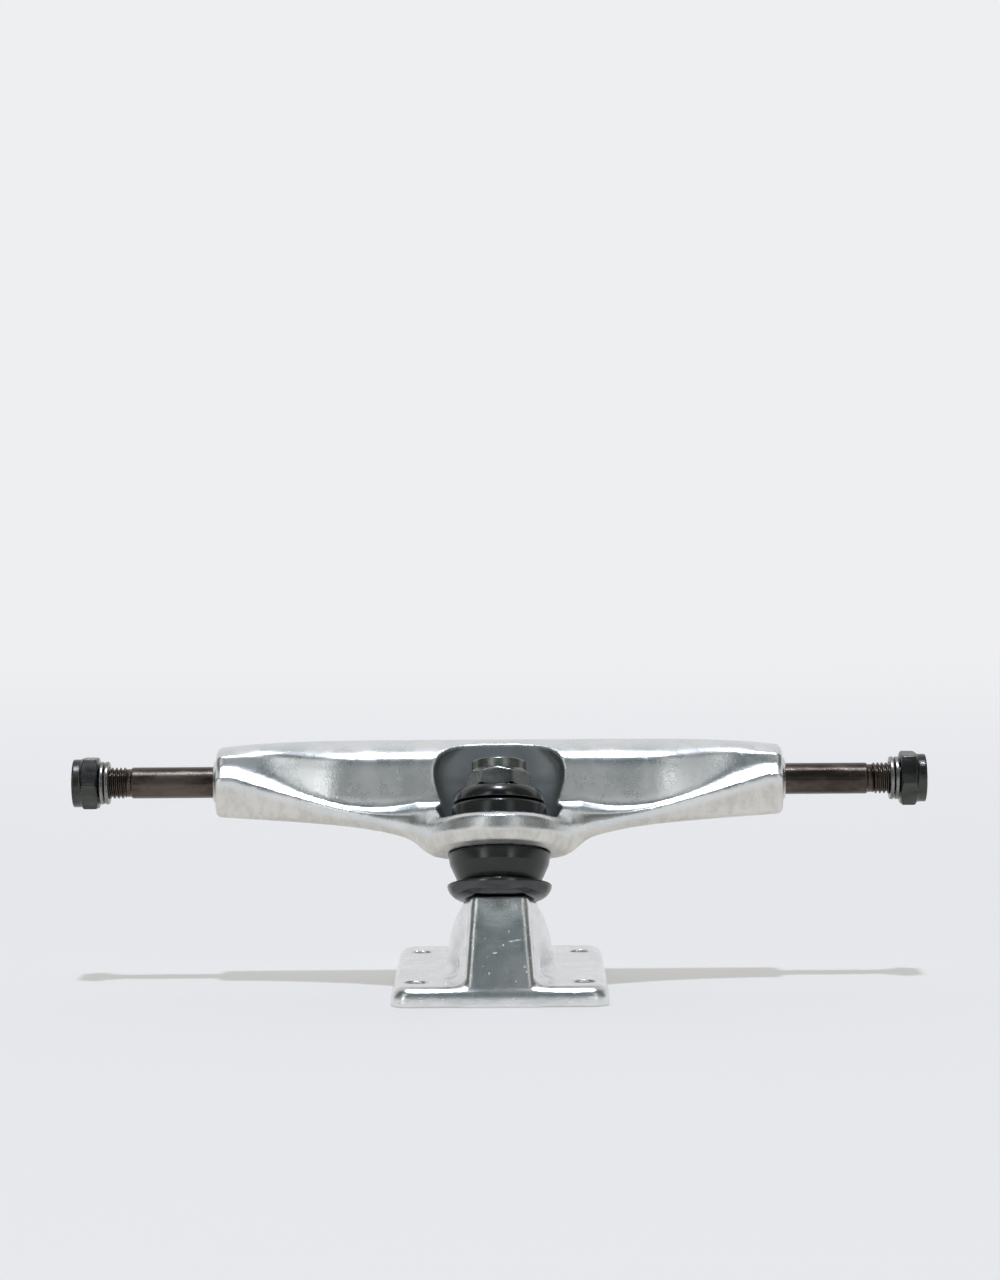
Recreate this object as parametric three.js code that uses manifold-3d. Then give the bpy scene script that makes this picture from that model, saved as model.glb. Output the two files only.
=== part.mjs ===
// Skateboard truck: cast baseplate, kingpin with its urethane bushings, steering hanger and steel axle.
// Millimetres, +Z up. The origin is the centre of the mounting-hole pattern on the flat underside.
// +X runs along the axle, and -Y points to the kingpin side.

import * as THREE from "three";
import { mergeVertices } from "three/addons/utils/BufferGeometryUtils.js";
import { ConvexGeometry } from "three/addons/geometries/ConvexGeometry.js";
import Module from "manifold-3d";

const wasm = await Module();
wasm.setup();

// Fits and tools
const restGap = 0.3; // between pieces that rest on one another
const pressGap = 0.2; // between pieces that are pressed or cast together
const threadGap = 0.1; // between a thread's crest and the plain bore that stands for its nut's thread
const overrun = 2; // how far a cutting tool runs past the face it cuts
const weldSize = 0.03; // edges shorter than this, left by a cut, are closed up
const roundSides = 28;
const smallSides = 20;
const arcSteps = 4;

// Baseplate
const plateWidth = 53.5;
const plateFrontReach = 36.8;
const plateRearReach = 40.3;
const plateThickness = 5;
const plateEdgeHeight = 2.4; // flat of the edge below its fillet
const plateCornerRadius = 4.5;
const plateEdgeChamfer = 0.3;
const holeSpacingX = 41.28;
const holeSpacingY = 53.98;
const holeDiameter = 5.4;

// Kingpin tower on the baseplate
const kingpinLean = THREE.MathUtils.degToRad(16.5);
const seatHeight = 23.8; // centre of the tower's seat above the underside
const seatSetback = 19.3; // the same centre ahead of the hole pattern's centre
const postFrontOffset = 8.3; // front face ahead of the kingpin's axis
const postFootWidth = 17.6;
const postTopWidth = 13.8;
const postEdgeRadius = 1.3;
const postDepth = 14;
const footFillet = 2;
const postFrontSpreadShare = 0.25; // of the foot's fillet, on the post's front
const towerRadius = 13.25;
const towerFootHeight = 6.5; // where the tower's dome is widest
const towerDomeRise = 5.7; // the dome's tip, cut off by the seat, above the seat's centre
const towerFootSetback = 10.5;
const seatRadius = 9.6;

// Kingpin, a 3/8 in bolt with a hexagon head in a pocket under the plate
const kingpinRadius = 4.7;
const kingpinThreadDepth = 0.55;
const kingpinThreadLength = 10;
const kingpinEndChamfer = 0.6;
const kingpinHeadFlats = 14.29;
const kingpinHeadHeight = 5;
const kingpinHeadShoulder = 9.80123; // height of the head's shoulder above the underside
const kingpinEndInset = 0.5; // below the nut's top
const threadPitch = 25.4 / 24;

// Cup washers and bushings, stacked up the kingpin from the seat
const washerThickness = 1.5;
const bottomWasherRadius = 13;
const bottomWasherFlatRadius = 8.6;
const bottomCupDepth = 2.2;
const topWasherRadius = 11.35;
const topWasherFlatRadius = 8.2;
const topCupDepth = 1.9;
const bottomBushingHeight = 11.8;
const bottomBushingRadius = 12.85;
const bottomBushingFootRadius = 9.3;
const bottomBushingWaistRadius = 10.7;
const bottomBushingSwellShare = 0.68; // of its height up to the ring, where it swells past its cone
const bushingShoulder = 1;
const topBushingHeight = 7.7;
const topBushingRadius = 11.8;
const topBushingNeckRadius = 9.3;
const topBushingCrownRadius = 8;
const bushingBoreGap = 0.35;
const ringSeatThickness = 4.1; // the ring's web between the two bushings

// Kingpin nut
const kingpinNutFlats = 13.9;
const kingpinNutHexHeight = 4.2;
const kingpinNutCollarHeight = 2.7;
const kingpinNutCollarRadius = 6.8;
const kingpinNutTurn = THREE.MathUtils.degToRad(-5.8);

// Pivot
const pivotSetback = 27.5; // centre of the pivot's round tip behind the hole pattern's centre
const pivotHeight = 13.2;
const pivotTipRadius = 4.9;
const pivotMouth = 7; // from the tip's centre up to the cup's mouth
const pivotNeckRadius = 5.5; // at the mouth
const pivotCupWall = 1.7;
const pivotCupLip = 0.5;
const pivotBossWall = 2.3;
const pivotBossRadius = 12.3; // footprint on the plate
const pivotBossRearWall = 1.5;
const pivotBossEdge = 0.8;
const pivotArmRadius = 8.4;
const pivotArmFlare = 9; // length over which the neck grows to the arm
const saddleWidth = 9;
const saddleHeight = 4.5;

// Axle, a 5/16 in bar
const axleLength = 215.9;
const axleRadius = 3.97;
const axleHeight = 51.3;
const axleSetback = 9.5; // behind the hole pattern's centre
const axleThreadLength = 11.4;
const axleThreadDepth = 0.55;
const axleNeckLength = 2.5;
const axleNeckDepth = 0.4;
const axleEndChamfer = 0.6;

// Hanger, with sizes taken from the axle's centre
const hangerLength = 144.4;
const hangerEndBossRadius = 5.3;
const hangerEndBossLength = 0.8;
const hangerEndRound = 2.8;
const hangerTop = 10;
const hangerTopFall = 1.7; // how much lower the top is at the ends
const hangerFront = 8.5;
const hangerRear = 8.8;
const hangerUnder = 8.6;
const wingRoot = 18; // half-width at which the wings meet the ring
const faceReach = 3; // how far the face itself comes forward at the ring
const wingReach = 14.5; // how far the wing's edge sweeps ahead of the front
const crestEndHeight = 2; // parting crest at the ends
const crestFall = 9.9; // its fall from there to the ring
const wingBottomFall = 3.2;
const wingBottomFlare = 2.6;
const ringRadius = 17;
const ringSkirt = 2.1; // ring below the seat of the bottom bushing
const ringBottomRadius = 13.6;
const ringRim = 2.2; // ring above the seat of the top bushing
const ringTopRadius = 13.6;
const ringCrestDrop = 3.1;
const ringCrownShare = 0.72; // of the step from its top radius to its full radius, a third of the way down
const ringEdge = 0.8;
const ringBoreRadius = 7.4;
const ringRecessRadius = 13.1;
const underRingClearance = 3.4; // around the bottom washer, so that the hanger can lean
const scoopWidth = 34;
const scoopShoulder = 4.8189; // from the axle's level up the kingpin to the scoop's widest level
const scoopCrown = 11; // from there to its top
const scoopDepth = 14; // behind the kingpin's axis
const scoopFillet = 5;
const webWidth = 13;
const webFootRadius = 6.6;
const webBeamShares = [[-0.7, -0.5], [0.6, -0.5], [0.6, 0.2]]; // of the beam's rear depth and lower height
const scoopFootShare = 0.96; // of the scoop's width at its widest

// Axle nuts and speed washers
const axleNutFlats = 12.7;
const axleNutHexHeight = 4.3;
const axleNutCollarHeight = 2.3;
const axleNutCollarRadius = 6.1;
const axleNutOverhang = 0.85; // past the axle's end
const speedWasherRadius = 5.45;
const speedWasherBore = 4.2;
const speedWasherThickness = 1;
const insertHeight = 1.7;
const insertWall = 1.5;
const nutLip = 0.4; // metal folded over the insert
const nutChamferShare = 0.09; // of a nut's width across flats
const axleNutTurns = [30, 36].map(THREE.MathUtils.degToRad); // left and right, about the axle

// Looks
const paint = (color, roughness, metalness) =>
  new THREE.MeshStandardMaterial({ color, roughness, metalness });
const castAluminium = () => paint(0xb9bcba, 0.35, 1);
const blackSteel = () => paint(0x2c2927, 0.45, 0.8);
const blackZinc = () => paint(0x1d1e1f, 0.35, 0.6);
const urethane = () => paint(0x1f201f, 0.5, 0);
const nylon = () => paint(0x17181a, 0.6, 0);

// Closed meshes in and out of the boolean library
function outward(geometry) {
  const index = geometry.index.array;
  const position = geometry.attributes.position;
  const corner = [0, 1, 2].map(() => new THREE.Vector3());
  let volume = 0;
  for (let i = 0; i < index.length; i += 3) {
    corner.forEach((point, k) => point.fromBufferAttribute(position, index[i + k]));
    volume += corner[0].dot(corner[1].clone().cross(corner[2]));
  }
  if (volume < 0) {
    for (let i = 0; i < index.length; i += 3) {
      [index[i], index[i + 1]] = [index[i + 1], index[i]];
    }
  }
  return geometry;
}

function solid(geometry, matrix = new THREE.Matrix4()) {
  const bare = new THREE.BufferGeometry();
  bare.setAttribute("position", geometry.attributes.position.clone());
  if (geometry.index) bare.setIndex(geometry.index.clone());
  const merged = mergeVertices(bare.applyMatrix4(matrix));
  const corners = [];
  for (let i = 0; i < merged.index.count; i += 3) {
    const [a, b, c] = merged.index.array.slice(i, i + 3);
    if (a !== b && b !== c && c !== a) corners.push(a, b, c);
  }
  merged.setIndex(corners);
  outward(merged);
  return new wasm.Manifold(
    new wasm.Mesh({
      numProp: 3,
      vertProperties: new Float32Array(merged.attributes.position.array),
      triVerts: new Uint32Array(merged.index.array),
    })
  );
}

// The drawable geometry of a cut solid. Both ends of a very short edge become one corner.
function geometryOf(manifold) {
  const { vertProperties, triVerts } = manifold.getMesh();
  const place = (corner) => new THREE.Vector3().fromArray(vertProperties, 3 * corner);
  const keeper = Array.from({ length: vertProperties.length / 3 }, (_, corner) => corner);
  const kept = (corner) => (keeper[corner] === corner ? corner : kept(keeper[corner]));
  for (let i = 0; i < triVerts.length; i++) {
    const next = i % 3 === 2 ? i - 2 : i + 1;
    const [low, high] = [kept(triVerts[i]), kept(triVerts[next])].sort((a, b) => a - b);
    if (place(low).distanceTo(place(high)) < weldSize) keeper[high] = low;
  }
  const corners = [];
  for (let i = 0; i < triVerts.length; i += 3) {
    const [a, b, c] = [...triVerts.slice(i, i + 3)].map(kept);
    if (a !== b && b !== c && c !== a) corners.push(a, b, c);
  }
  const geometry = new THREE.BufferGeometry();
  geometry.setAttribute("position", new THREE.BufferAttribute(vertProperties, 3));
  geometry.setIndex(corners);
  return geometry;
}

const joined = (first, ...rest) => rest.reduce((whole, piece) => whole.add(piece), first);
const cutBy = (first, ...tools) => tools.reduce((whole, tool) => whole.subtract(tool), first);

// Shapes
const mix = (a, b, share) => a + (b - a) * share;

function lathe(profile, sides = roundSides) {
  const points = profile.map(([radius, height]) => new THREE.Vector2(radius, height));
  return new THREE.LatheGeometry(points, sides).rotateX(Math.PI / 2);
}

// A solid between two radii and two heights, or a plain bar when the inner radius is zero.
function tube(inner, outer, low, high, sides = roundSides) {
  const outside = [[outer, low], [outer, high]];
  if (inner === 0) return lathe([[0, low], ...outside, [0, high]], sides);
  return lathe([[inner, low], ...outside, [inner, high], [inner, low]], sides);
}

// A hexagonal bar whose flats face front and back.
function hexBar(flats, low, high) {
  const geometry = new THREE.CylinderGeometry(flats / Math.sqrt(3), flats / Math.sqrt(3), high - low, 6);
  return geometry.rotateY(Math.PI / 6).rotateX(Math.PI / 2).translate(0, 0, (low + high) / 2);
}

// A closed skin over rings that each hold the same number of points, capped at both ends.
function loft(rings) {
  const count = rings[0].length;
  const positions = rings.flat().flatMap((point) => point.toArray());
  const index = [];
  for (let r = 0; r + 1 < rings.length; r++) {
    for (let i = 0; i < count; i++) {
      const a = r * count + i;
      const b = r * count + ((i + 1) % count);
      index.push(a, b, b + count, a, b + count, a + count);
    }
  }
  const cap = (ring, offset, flip) => {
    const normal = new THREE.Vector3();
    ring.forEach((point, i) => normal.add(point.clone().cross(ring[(i + 1) % count])));
    const turn = new THREE.Quaternion().setFromUnitVectors(normal.normalize(), new THREE.Vector3(0, 0, 1));
    const flat = ring.map((point) => {
      const turned = point.clone().applyQuaternion(turn);
      return new THREE.Vector2(turned.x, turned.y);
    });
    for (const [a, b, c] of THREE.ShapeUtils.triangulateShape(flat, [])) {
      index.push(...(flip ? [c, b, a] : [a, b, c]).map((corner) => corner + offset));
    }
  };
  cap(rings[0], 0, true);
  cap(rings.at(-1), (rings.length - 1) * count, false);
  const geometry = new THREE.BufferGeometry();
  geometry.setAttribute("position", new THREE.Float32BufferAttribute(positions, 3));
  geometry.setIndex(index);
  return geometry;
}

function roundedRectangle(halfWidth, front, rear, radius, height) {
  const corners = [[1, 1], [-1, 1], [-1, -1], [1, -1]];
  return corners.flatMap(([sideX, sideY], quarter) => {
    const centreX = sideX * (halfWidth - radius);
    const centreY = sideY > 0 ? rear - radius : radius - front;
    return Array.from({ length: arcSteps + 1 }, (_, step) => {
      const angle = (quarter + step / arcSteps) * (Math.PI / 2);
      return new THREE.Vector3(
        centreX + radius * Math.cos(angle), centreY + radius * Math.sin(angle), height);
    });
  });
}

// Profile points of a round edge that turns inwards while it climbs.
function edgeArc(radius, height, fillet) {
  return Array.from({ length: arcSteps + 1 }, (_, step) => {
    const angle = (step / arcSteps) * (Math.PI / 2);
    return [radius - fillet + fillet * Math.cos(angle), height - fillet + fillet * Math.sin(angle)];
  });
}

// A threaded bar from height zero up: a core, one helical ridge, and a trim that chamfers both ends.
function threadedBar(radius, depth, length, chamfer) {
  const stepsPerTurn = 12;
  const turns = Math.ceil(length / threadPitch) + 2;
  const rootHalfShare = 0.46;
  const crestHalfShare = 0.07;
  const rootDepth = depth * (1 + rootHalfShare / 2);
  const rings = [];
  for (let step = 0; step <= turns * stepsPerTurn; step++) {
    const angle = (step / stepsPerTurn) * 2 * Math.PI;
    const height = (step / stepsPerTurn - 1) * threadPitch;
    const corner = (r, lift) => new THREE.Vector3(r * Math.cos(angle), r * Math.sin(angle), height + lift);
    rings.push([
      corner(radius - rootDepth, -rootHalfShare * threadPitch),
      corner(radius, -crestHalfShare * threadPitch),
      corner(radius, crestHalfShare * threadPitch),
      corner(radius - rootDepth, rootHalfShare * threadPitch),
    ]);
  }
  const core = solid(tube(0, radius - depth, 0, length, stepsPerTurn));
  const trim = lathe([[0, 0], [radius - depth, 0], [radius + chamfer, depth + chamfer],
    [radius + chamfer, length - chamfer], [radius - chamfer, length], [0, length]]);
  return core.add(solid(loft(rings))).intersect(solid(trim));
}

// Frames: the kingpin's starts at its seat, and the steering frame's at the pivot's tip.
const kingpinHeadDepth = (seatHeight - kingpinHeadShoulder) / Math.cos(kingpinLean);
const kingpinPlace = new THREE.Vector3(0, -seatSetback, seatHeight);
const kingpinTurn = new THREE.Quaternion().setFromAxisAngle(new THREE.Vector3(1, 0, 0), -kingpinLean);
const kingpinFrame = new THREE.Matrix4().compose(kingpinPlace, kingpinTurn, new THREE.Vector3(1, 1, 1));
const upTheKingpin = (distance) => new THREE.Vector3(0, 0, distance).applyMatrix4(kingpinFrame);

// Levels up the kingpin, each piece resting on the one below
const bottomWasherLevel = restGap;
const bottomBushingLevel = bottomWasherLevel + washerThickness + restGap;
const bottomSeatLevel = bottomBushingLevel + bottomBushingHeight + restGap;
const topSeatLevel = bottomSeatLevel + ringSeatThickness;
const topBushingLevel = topSeatLevel + restGap;
const topWasherLevel = topBushingLevel + topBushingHeight + restGap;
const kingpinNutLevel = topWasherLevel + washerThickness + restGap;
const kingpinNutHeight = kingpinNutHexHeight + kingpinNutCollarHeight;
const kingpinEndLevel = kingpinNutLevel + kingpinNutHeight - kingpinEndInset;
const ringBottomLevel = bottomSeatLevel - ringSkirt;
const ringTopLevel = topSeatLevel + ringRim;

const pivotTip = new THREE.Vector3(0, pivotSetback, pivotHeight);
const ringCentre = upTheKingpin((bottomSeatLevel + topSeatLevel) / 2);
const steeringAxis = ringCentre.clone().sub(pivotTip).normalize();
const steeringTurn = new THREE.Quaternion().setFromUnitVectors(new THREE.Vector3(0, 0, 1), steeringAxis);
const steeringFrame = new THREE.Matrix4().compose(pivotTip, steeringTurn, new THREE.Vector3(1, 1, 1));

// Baseplate
function plateSolid() {
  const ring = (inset, height) =>
    roundedRectangle(plateWidth / 2 - inset, plateFrontReach - inset, plateRearReach - inset,
      plateCornerRadius - inset, height);
  const fillet = plateThickness - plateEdgeHeight;
  const rings = [ring(plateEdgeChamfer, 0), ring(0, plateEdgeChamfer), ring(0, plateEdgeHeight)];
  for (let step = 1; step <= arcSteps; step++) {
    const angle = (step / arcSteps) * (Math.PI / 2);
    rings.push(ring(fillet * (1 - Math.cos(angle)), plateEdgeHeight + fillet * Math.sin(angle)));
  }
  return solid(loft(rings));
}

// The flat-faced post in front of the kingpin, leaning with it and spreading into the plate.
function postSolid() {
  const topRise = postFrontOffset * Math.sin(kingpinLean) + overrun;
  const frontAt = (height) =>
    seatSetback + (seatHeight - height) * Math.tan(kingpinLean) + postFrontOffset / Math.cos(kingpinLean);
  const rings = [];
  const levels = [];
  for (let step = 0; step <= arcSteps; step++) {
    const angle = (step / arcSteps) * (Math.PI / 2);
    levels.push([plateThickness + footFillet * (1 - Math.cos(angle)), footFillet * (1 - Math.sin(angle))]);
  }
  levels.unshift([plateThickness - plateEdgeHeight / 2, footFillet]);
  levels.push([seatHeight + topRise, 0]);
  for (const [height, spread] of levels) {
    const share = (height - plateThickness) / (seatHeight + topRise - plateThickness);
    const front = frontAt(Math.max(height, plateThickness)) + spread * postFrontSpreadShare;
    const halfWidth = mix(postFootWidth, postTopWidth, share) / 2 + spread;
    rings.push(roundedRectangle(halfWidth, front, postDepth - front, postEdgeRadius, height));
  }
  return solid(loft(rings));
}

// The domed body behind the post, which carries the kingpin's seat.
function towerSolid() {
  const levels = [plateThickness - plateEdgeHeight / 2];
  for (let step = 0; step <= 2 * arcSteps; step++) {
    const crown = seatHeight + seatRadius * Math.sin(kingpinLean);
    levels.push(mix(plateThickness, crown, step / (2 * arcSteps)));
  }
  const rings = levels.map((height) => {
    const share = Math.max(0, (height - towerFootHeight) / (seatHeight + towerDomeRise - towerFootHeight));
    const radius = towerRadius * Math.sqrt(1 - share ** 2);
    const climb = (height - plateThickness) / (seatHeight - plateThickness);
    const centre = -mix(towerFootSetback, seatSetback, Math.min(1, Math.max(0, climb)));
    return Array.from({ length: roundSides }, (_, side) => {
      const angle = (side / roundSides) * 2 * Math.PI;
      return new THREE.Vector3(radius * Math.cos(angle), centre + radius * Math.sin(angle), height);
    });
  });
  return solid(loft(rings));
}

function discPoints(radius, height, matrix) {
  return Array.from({ length: roundSides }, (_, side) => {
    const angle = (side / roundSides) * 2 * Math.PI;
    const point = new THREE.Vector3(radius * Math.cos(angle), radius * Math.sin(angle), height);
    return point.applyMatrix4(matrix);
  });
}

const pivotCupRadius = pivotNeckRadius + restGap + pivotCupWall;
const pivotCupBottom = pivotTipRadius + restGap + pivotCupWall;

// The boss around the pivot cup: its mouth faces up the steering axis and its foot spreads on the plate.
function pivotBossSolid() {
  const mouthRadius = pivotCupRadius + pivotBossWall;
  const footprint = new THREE.Matrix4().makeTranslation(0, pivotSetback, 0);
  return solid(
    new ConvexGeometry([
      ...discPoints(mouthRadius - pivotBossEdge, pivotMouth, steeringFrame),
      ...discPoints(mouthRadius, pivotMouth - pivotBossEdge, steeringFrame),
      ...discPoints(pivotCupRadius + pivotBossRearWall, pivotCupWall - pivotCupBottom, steeringFrame),
      ...discPoints(pivotCupRadius, -pivotCupBottom - pivotBossRearWall, steeringFrame),
      ...discPoints(pivotBossRadius, plateThickness, footprint),
      ...discPoints(pivotBossRadius, plateThickness - plateEdgeHeight / 2, footprint),
    ])
  );
}

// A low rib between the tower and the pivot boss.
function saddleSolid() {
  const start = -towerFootSetback;
  const end = pivotSetback;
  const box = new THREE.BoxGeometry(saddleWidth, end - start, saddleHeight + plateEdgeHeight / 2);
  const low = plateThickness - plateEdgeHeight / 2;
  return solid(box.translate(0, (start + end) / 2, low + (saddleHeight + plateEdgeHeight / 2) / 2));
}

function baseplateGeometry() {
  const reach = plateFrontReach + plateRearReach;
  const aboveSeat = solid(tube(0, reach, 0, reach), kingpinFrame);
  const pinHole = solid(tube(0, kingpinRadius + pressGap, -reach, overrun), kingpinFrame);
  const pocket = solid(
    hexBar(kingpinHeadFlats + 2 * restGap, -reach, restGap - kingpinHeadDepth), kingpinFrame);
  const socketReach = pivotMouth + pivotArmFlare;
  const cupSocket = solid(
    tube(0, pivotCupRadius + pressGap, -pivotCupBottom - pressGap, socketReach), steeringFrame);
  const holes = [-1, 1].flatMap((sideX) =>
    [-1, 1].map((sideY) =>
      solid(tube(0, holeDiameter / 2, -overrun, plateThickness + overrun, roundSides / 2).translate(
        (sideX * holeSpacingX) / 2, (sideY * holeSpacingY) / 2, 0))));
  const tower = cutBy(joined(postSolid(), towerSolid()), aboveSeat);
  const body = joined(plateSolid(), tower, pivotBossSolid(), saddleSolid());
  return geometryOf(cutBy(body, pinHole, pocket, cupSocket, ...holes));
}

// Kingpin and the stack on it, in the kingpin's frame
function kingpinGeometry() {
  const headLow = -kingpinHeadDepth - kingpinHeadHeight;
  const threadLow = kingpinEndLevel - kingpinThreadLength;
  const head = solid(hexBar(kingpinHeadFlats, headLow, -kingpinHeadDepth));
  const shank = solid(tube(0, kingpinRadius, -kingpinHeadDepth - overrun, threadLow + threadPitch));
  const thread = threadedBar(kingpinRadius, kingpinThreadDepth, kingpinThreadLength, kingpinEndChamfer);
  return geometryOf(joined(head, shank, thread.translate([0, 0, threadLow])));
}

// A cup washer that opens upwards: a flat base, and a rolled wall that flares out to the rim.
function cupWasherGeometry(flatRadius, rimRadius, cupDepth) {
  const flare = rimRadius - flatRadius;
  const wall = (offset) =>
    Array.from({ length: arcSteps + 1 }, (_, step) => {
      const angle = (step / arcSteps) * (Math.PI / 2);
      return [flatRadius + (flare - offset) * Math.sin(angle),
        offset + (cupDepth + washerThickness - offset) * (1 - Math.cos(angle))];
    });
  const bore = kingpinRadius + restGap;
  const outside = wall(0);
  const inside = wall(washerThickness).reverse();
  return lathe([[bore, 0], ...outside, ...inside, [bore, washerThickness], [bore, 0]]);
}

// Each bushing's neck sits in a recess of the ring, so the recess follows the neck.
const bottomBushingNeckRadius = bottomBushingRadius - bushingShoulder;

function bottomBushingGeometry() {
  const bore = kingpinRadius + bushingBoreGap;
  const shoulder = bottomBushingHeight - ringSkirt;
  return lathe([
    [bore, 0], [bottomBushingFootRadius, 0],
    [bottomBushingWaistRadius, bottomCupDepth + washerThickness],
    [bottomBushingRadius - bushingShoulder / 2, bottomBushingSwellShare * shoulder],
    ...edgeArc(bottomBushingRadius, shoulder, bushingShoulder),
    [bottomBushingNeckRadius, bottomBushingHeight], [bore, bottomBushingHeight], [bore, 0],
  ]);
}

function topBushingGeometry() {
  const bore = kingpinRadius + bushingBoreGap;
  const shoulder = topBushingHeight - topCupDepth - restGap;
  return lathe([
    [bore, 0], [topBushingRadius - bushingShoulder / 2, 0], [topBushingRadius, bushingShoulder / 2],
    ...edgeArc(topBushingRadius, shoulder, bushingShoulder),
    [topBushingNeckRadius, shoulder], [topBushingCrownRadius, topBushingHeight],
    [bore, topBushingHeight], [bore, 0],
  ]);
}

// A lock nut that stands on height zero: chamfered hexagon, round collar, and a groove for the insert.
function lockNutGeometry(flats, hexHeight, collarHeight, collarRadius, boreRadius) {
  const corner = flats / Math.sqrt(3);
  const chamfer = flats * nutChamferShare;
  const height = hexHeight + collarHeight;
  const hex = solid(hexBar(flats, 0, hexHeight)).intersect(
    solid(lathe([[0, 0], [corner - chamfer, 0], [corner, chamfer / 2], [corner, hexHeight - chamfer / 2],
      [corner - chamfer, hexHeight], [0, hexHeight]], smallSides)));
  const collar = solid(lathe([[0, hexHeight - overrun], [collarRadius, hexHeight - overrun],
    ...edgeArc(collarRadius, height, collarHeight / 2), [0, height]], smallSides));
  const roundCut = (radius, low, high) => solid(tube(0, radius, low, high, smallSides));
  const groove = roundCut(boreRadius + insertWall, height - nutLip - insertHeight, height - nutLip);
  const mouth = roundCut(
    boreRadius + insertWall - nutLip, height - nutLip - insertHeight / 2, height + overrun);
  const bore = roundCut(boreRadius, -overrun, height + overrun);
  return geometryOf(cutBy(joined(hex, collar), bore, groove, mouth));
}

function insertGeometry(boreRadius, nutHeight) {
  const high = nutHeight - nutLip;
  const outer = boreRadius + insertWall - threadGap;
  return tube(boreRadius, outer, high - insertHeight + threadGap, high - threadGap, smallSides);
}

// Pivot cup, in the steering frame: a sleeve with a round bottom
function pivotCupGeometry() {
  const inner = pivotTipRadius + restGap;
  const bowl = Array.from({ length: arcSteps + 1 }, (_, step) => {
    const angle = (step / arcSteps) * (Math.PI / 2);
    return [inner * Math.sin(angle), -inner * Math.cos(angle)];
  });
  const lip = pivotMouth + pivotCupLip;
  return lathe([
    [0, -pivotCupBottom], [pivotCupRadius - pivotCupWall, -pivotCupBottom],
    [pivotCupRadius, pivotCupWall - pivotCupBottom], [pivotCupRadius, lip],
    [pivotNeckRadius + restGap, lip], ...bowl.reverse(),
  ]);
}

// Axle, built upright about its centre
function axleGeometry() {
  const threadLow = axleLength / 2 - axleThreadLength;
  const bar = solid(tube(0, axleRadius, -threadLow + axleNeckLength, threadLow - axleNeckLength));
  const neckReach = threadLow + threadPitch / 2;
  const neck = solid(tube(0, axleRadius - axleNeckDepth, -neckReach, neckReach));
  const end = threadedBar(axleRadius, axleThreadDepth, axleThreadLength, axleEndChamfer)
    .translate([0, 0, threadLow]);
  return geometryOf(joined(bar, neck, end, end.rotate([180, 0, 0])));
}

// Hanger
// The section's knots, back then face: shares of the depth behind or ahead, and of the height up or down.
const backShares = [[0.62, -0.86], [0.97, -0.42], [1, 0.15], [0.9, 0.68], [0.52, 1]];
const faceShares = [[-0.28, 0.97], [-0.72, 0.8], [-0.95, 0.52]];
// Hollow between face and wing: share of the wing's ledge, and of the rise from its crest to the top.
const hollowShares = [[0, 0.3], [0.22, 0.14], [0.62, 0.055]];
// Band under the crest: shares of the band's height, behind the crest and below it.
const crestShares = [[0.06, -0.02], [0.05, 0.16]];
// Lower edge: share of the front at the hanger's ends, and of the band behind the crest at the ring.
const lowerShares = [[-0.62, 0.3], [-0.3, 0.75]];
const lowerEdgeRiseShare = 0.06;
const bellyShare = -0.2;
const bellyDropShare = 0.35;
const crestFallPower = 0.65;
const wingSweepPower = 2.5;
const wingFlarePower = 6;
const hangerTopPower = 4;
const hangerStations = 28;
const stepsPerKnot = 2;

// One closed section at a place along the axle, drawn in by an inset, around the axle's centre.
function hangerSection(x, inset) {
  const half = hangerLength / 2;
  const reach = Math.min(1, (half - Math.abs(x)) / (half - wingRoot));
  const front = hangerFront + faceReach * reach ** 2;
  const top = hangerTop - hangerTopFall * (1 - reach) ** hangerTopPower;
  const crestY = -(hangerFront + wingReach * reach ** wingSweepPower);
  const crestZ = crestEndHeight - crestFall * reach ** crestFallPower;
  const bottomZ = -(hangerUnder + wingBottomFall * reach + wingBottomFlare * reach ** wingFlarePower);
  const band = crestZ - bottomZ;
  const ledge = -front - crestY;
  const knots = [
    ...backShares.map(([y, z]) => [y * hangerRear, z * (z > 0 ? top : hangerUnder)]),
    ...faceShares.map(([y, z]) => [y * front, z * top]),
    ...hollowShares.map(([y, z]) => [-front - y * ledge, mix(crestZ, top, z)]),
    ...crestShares.map(([y, z]) => [crestY + y * band, crestZ - z * band]),
    ...lowerShares.map(([end, root], row) =>
      [mix(end * hangerFront, crestY + root * band, reach),
        bottomZ + (1 - row) * lowerEdgeRiseShare * band]),
    [bellyShare * hangerFront, mix(-hangerUnder, bottomZ, bellyDropShare * reach)],
  ];
  const points = knots.map(([y, z]) => new THREE.Vector3(0, y, z));
  const curve = new THREE.CatmullRomCurve3(points, true, "centripetal");
  const scale = 1 - inset / hangerFront;
  return curve.getPoints(stepsPerKnot * knots.length).slice(0, -1)
    .map((point) => new THREE.Vector3(x, axleSetback + point.y * scale, axleHeight + point.z * scale));
}

// The cast beam with its swept wings, a skin over sections from end to end with round ends.
function beamSolid() {
  const straight = hangerLength / 2 - hangerEndRound;
  const stations = [];
  for (let step = 0; step <= hangerStations; step++) {
    stations.push([mix(-straight, straight, step / hangerStations), 0]);
  }
  for (let step = 1; step <= arcSteps; step++) {
    const angle = (step / arcSteps) * (Math.PI / 2);
    const x = straight + hangerEndRound * Math.sin(angle);
    const inset = hangerEndRound * (1 - Math.cos(angle));
    stations.unshift([-x, inset]);
    stations.push([x, inset]);
  }
  return solid(loft(stations.map(([x, inset]) => hangerSection(x, inset))));
}

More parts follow.
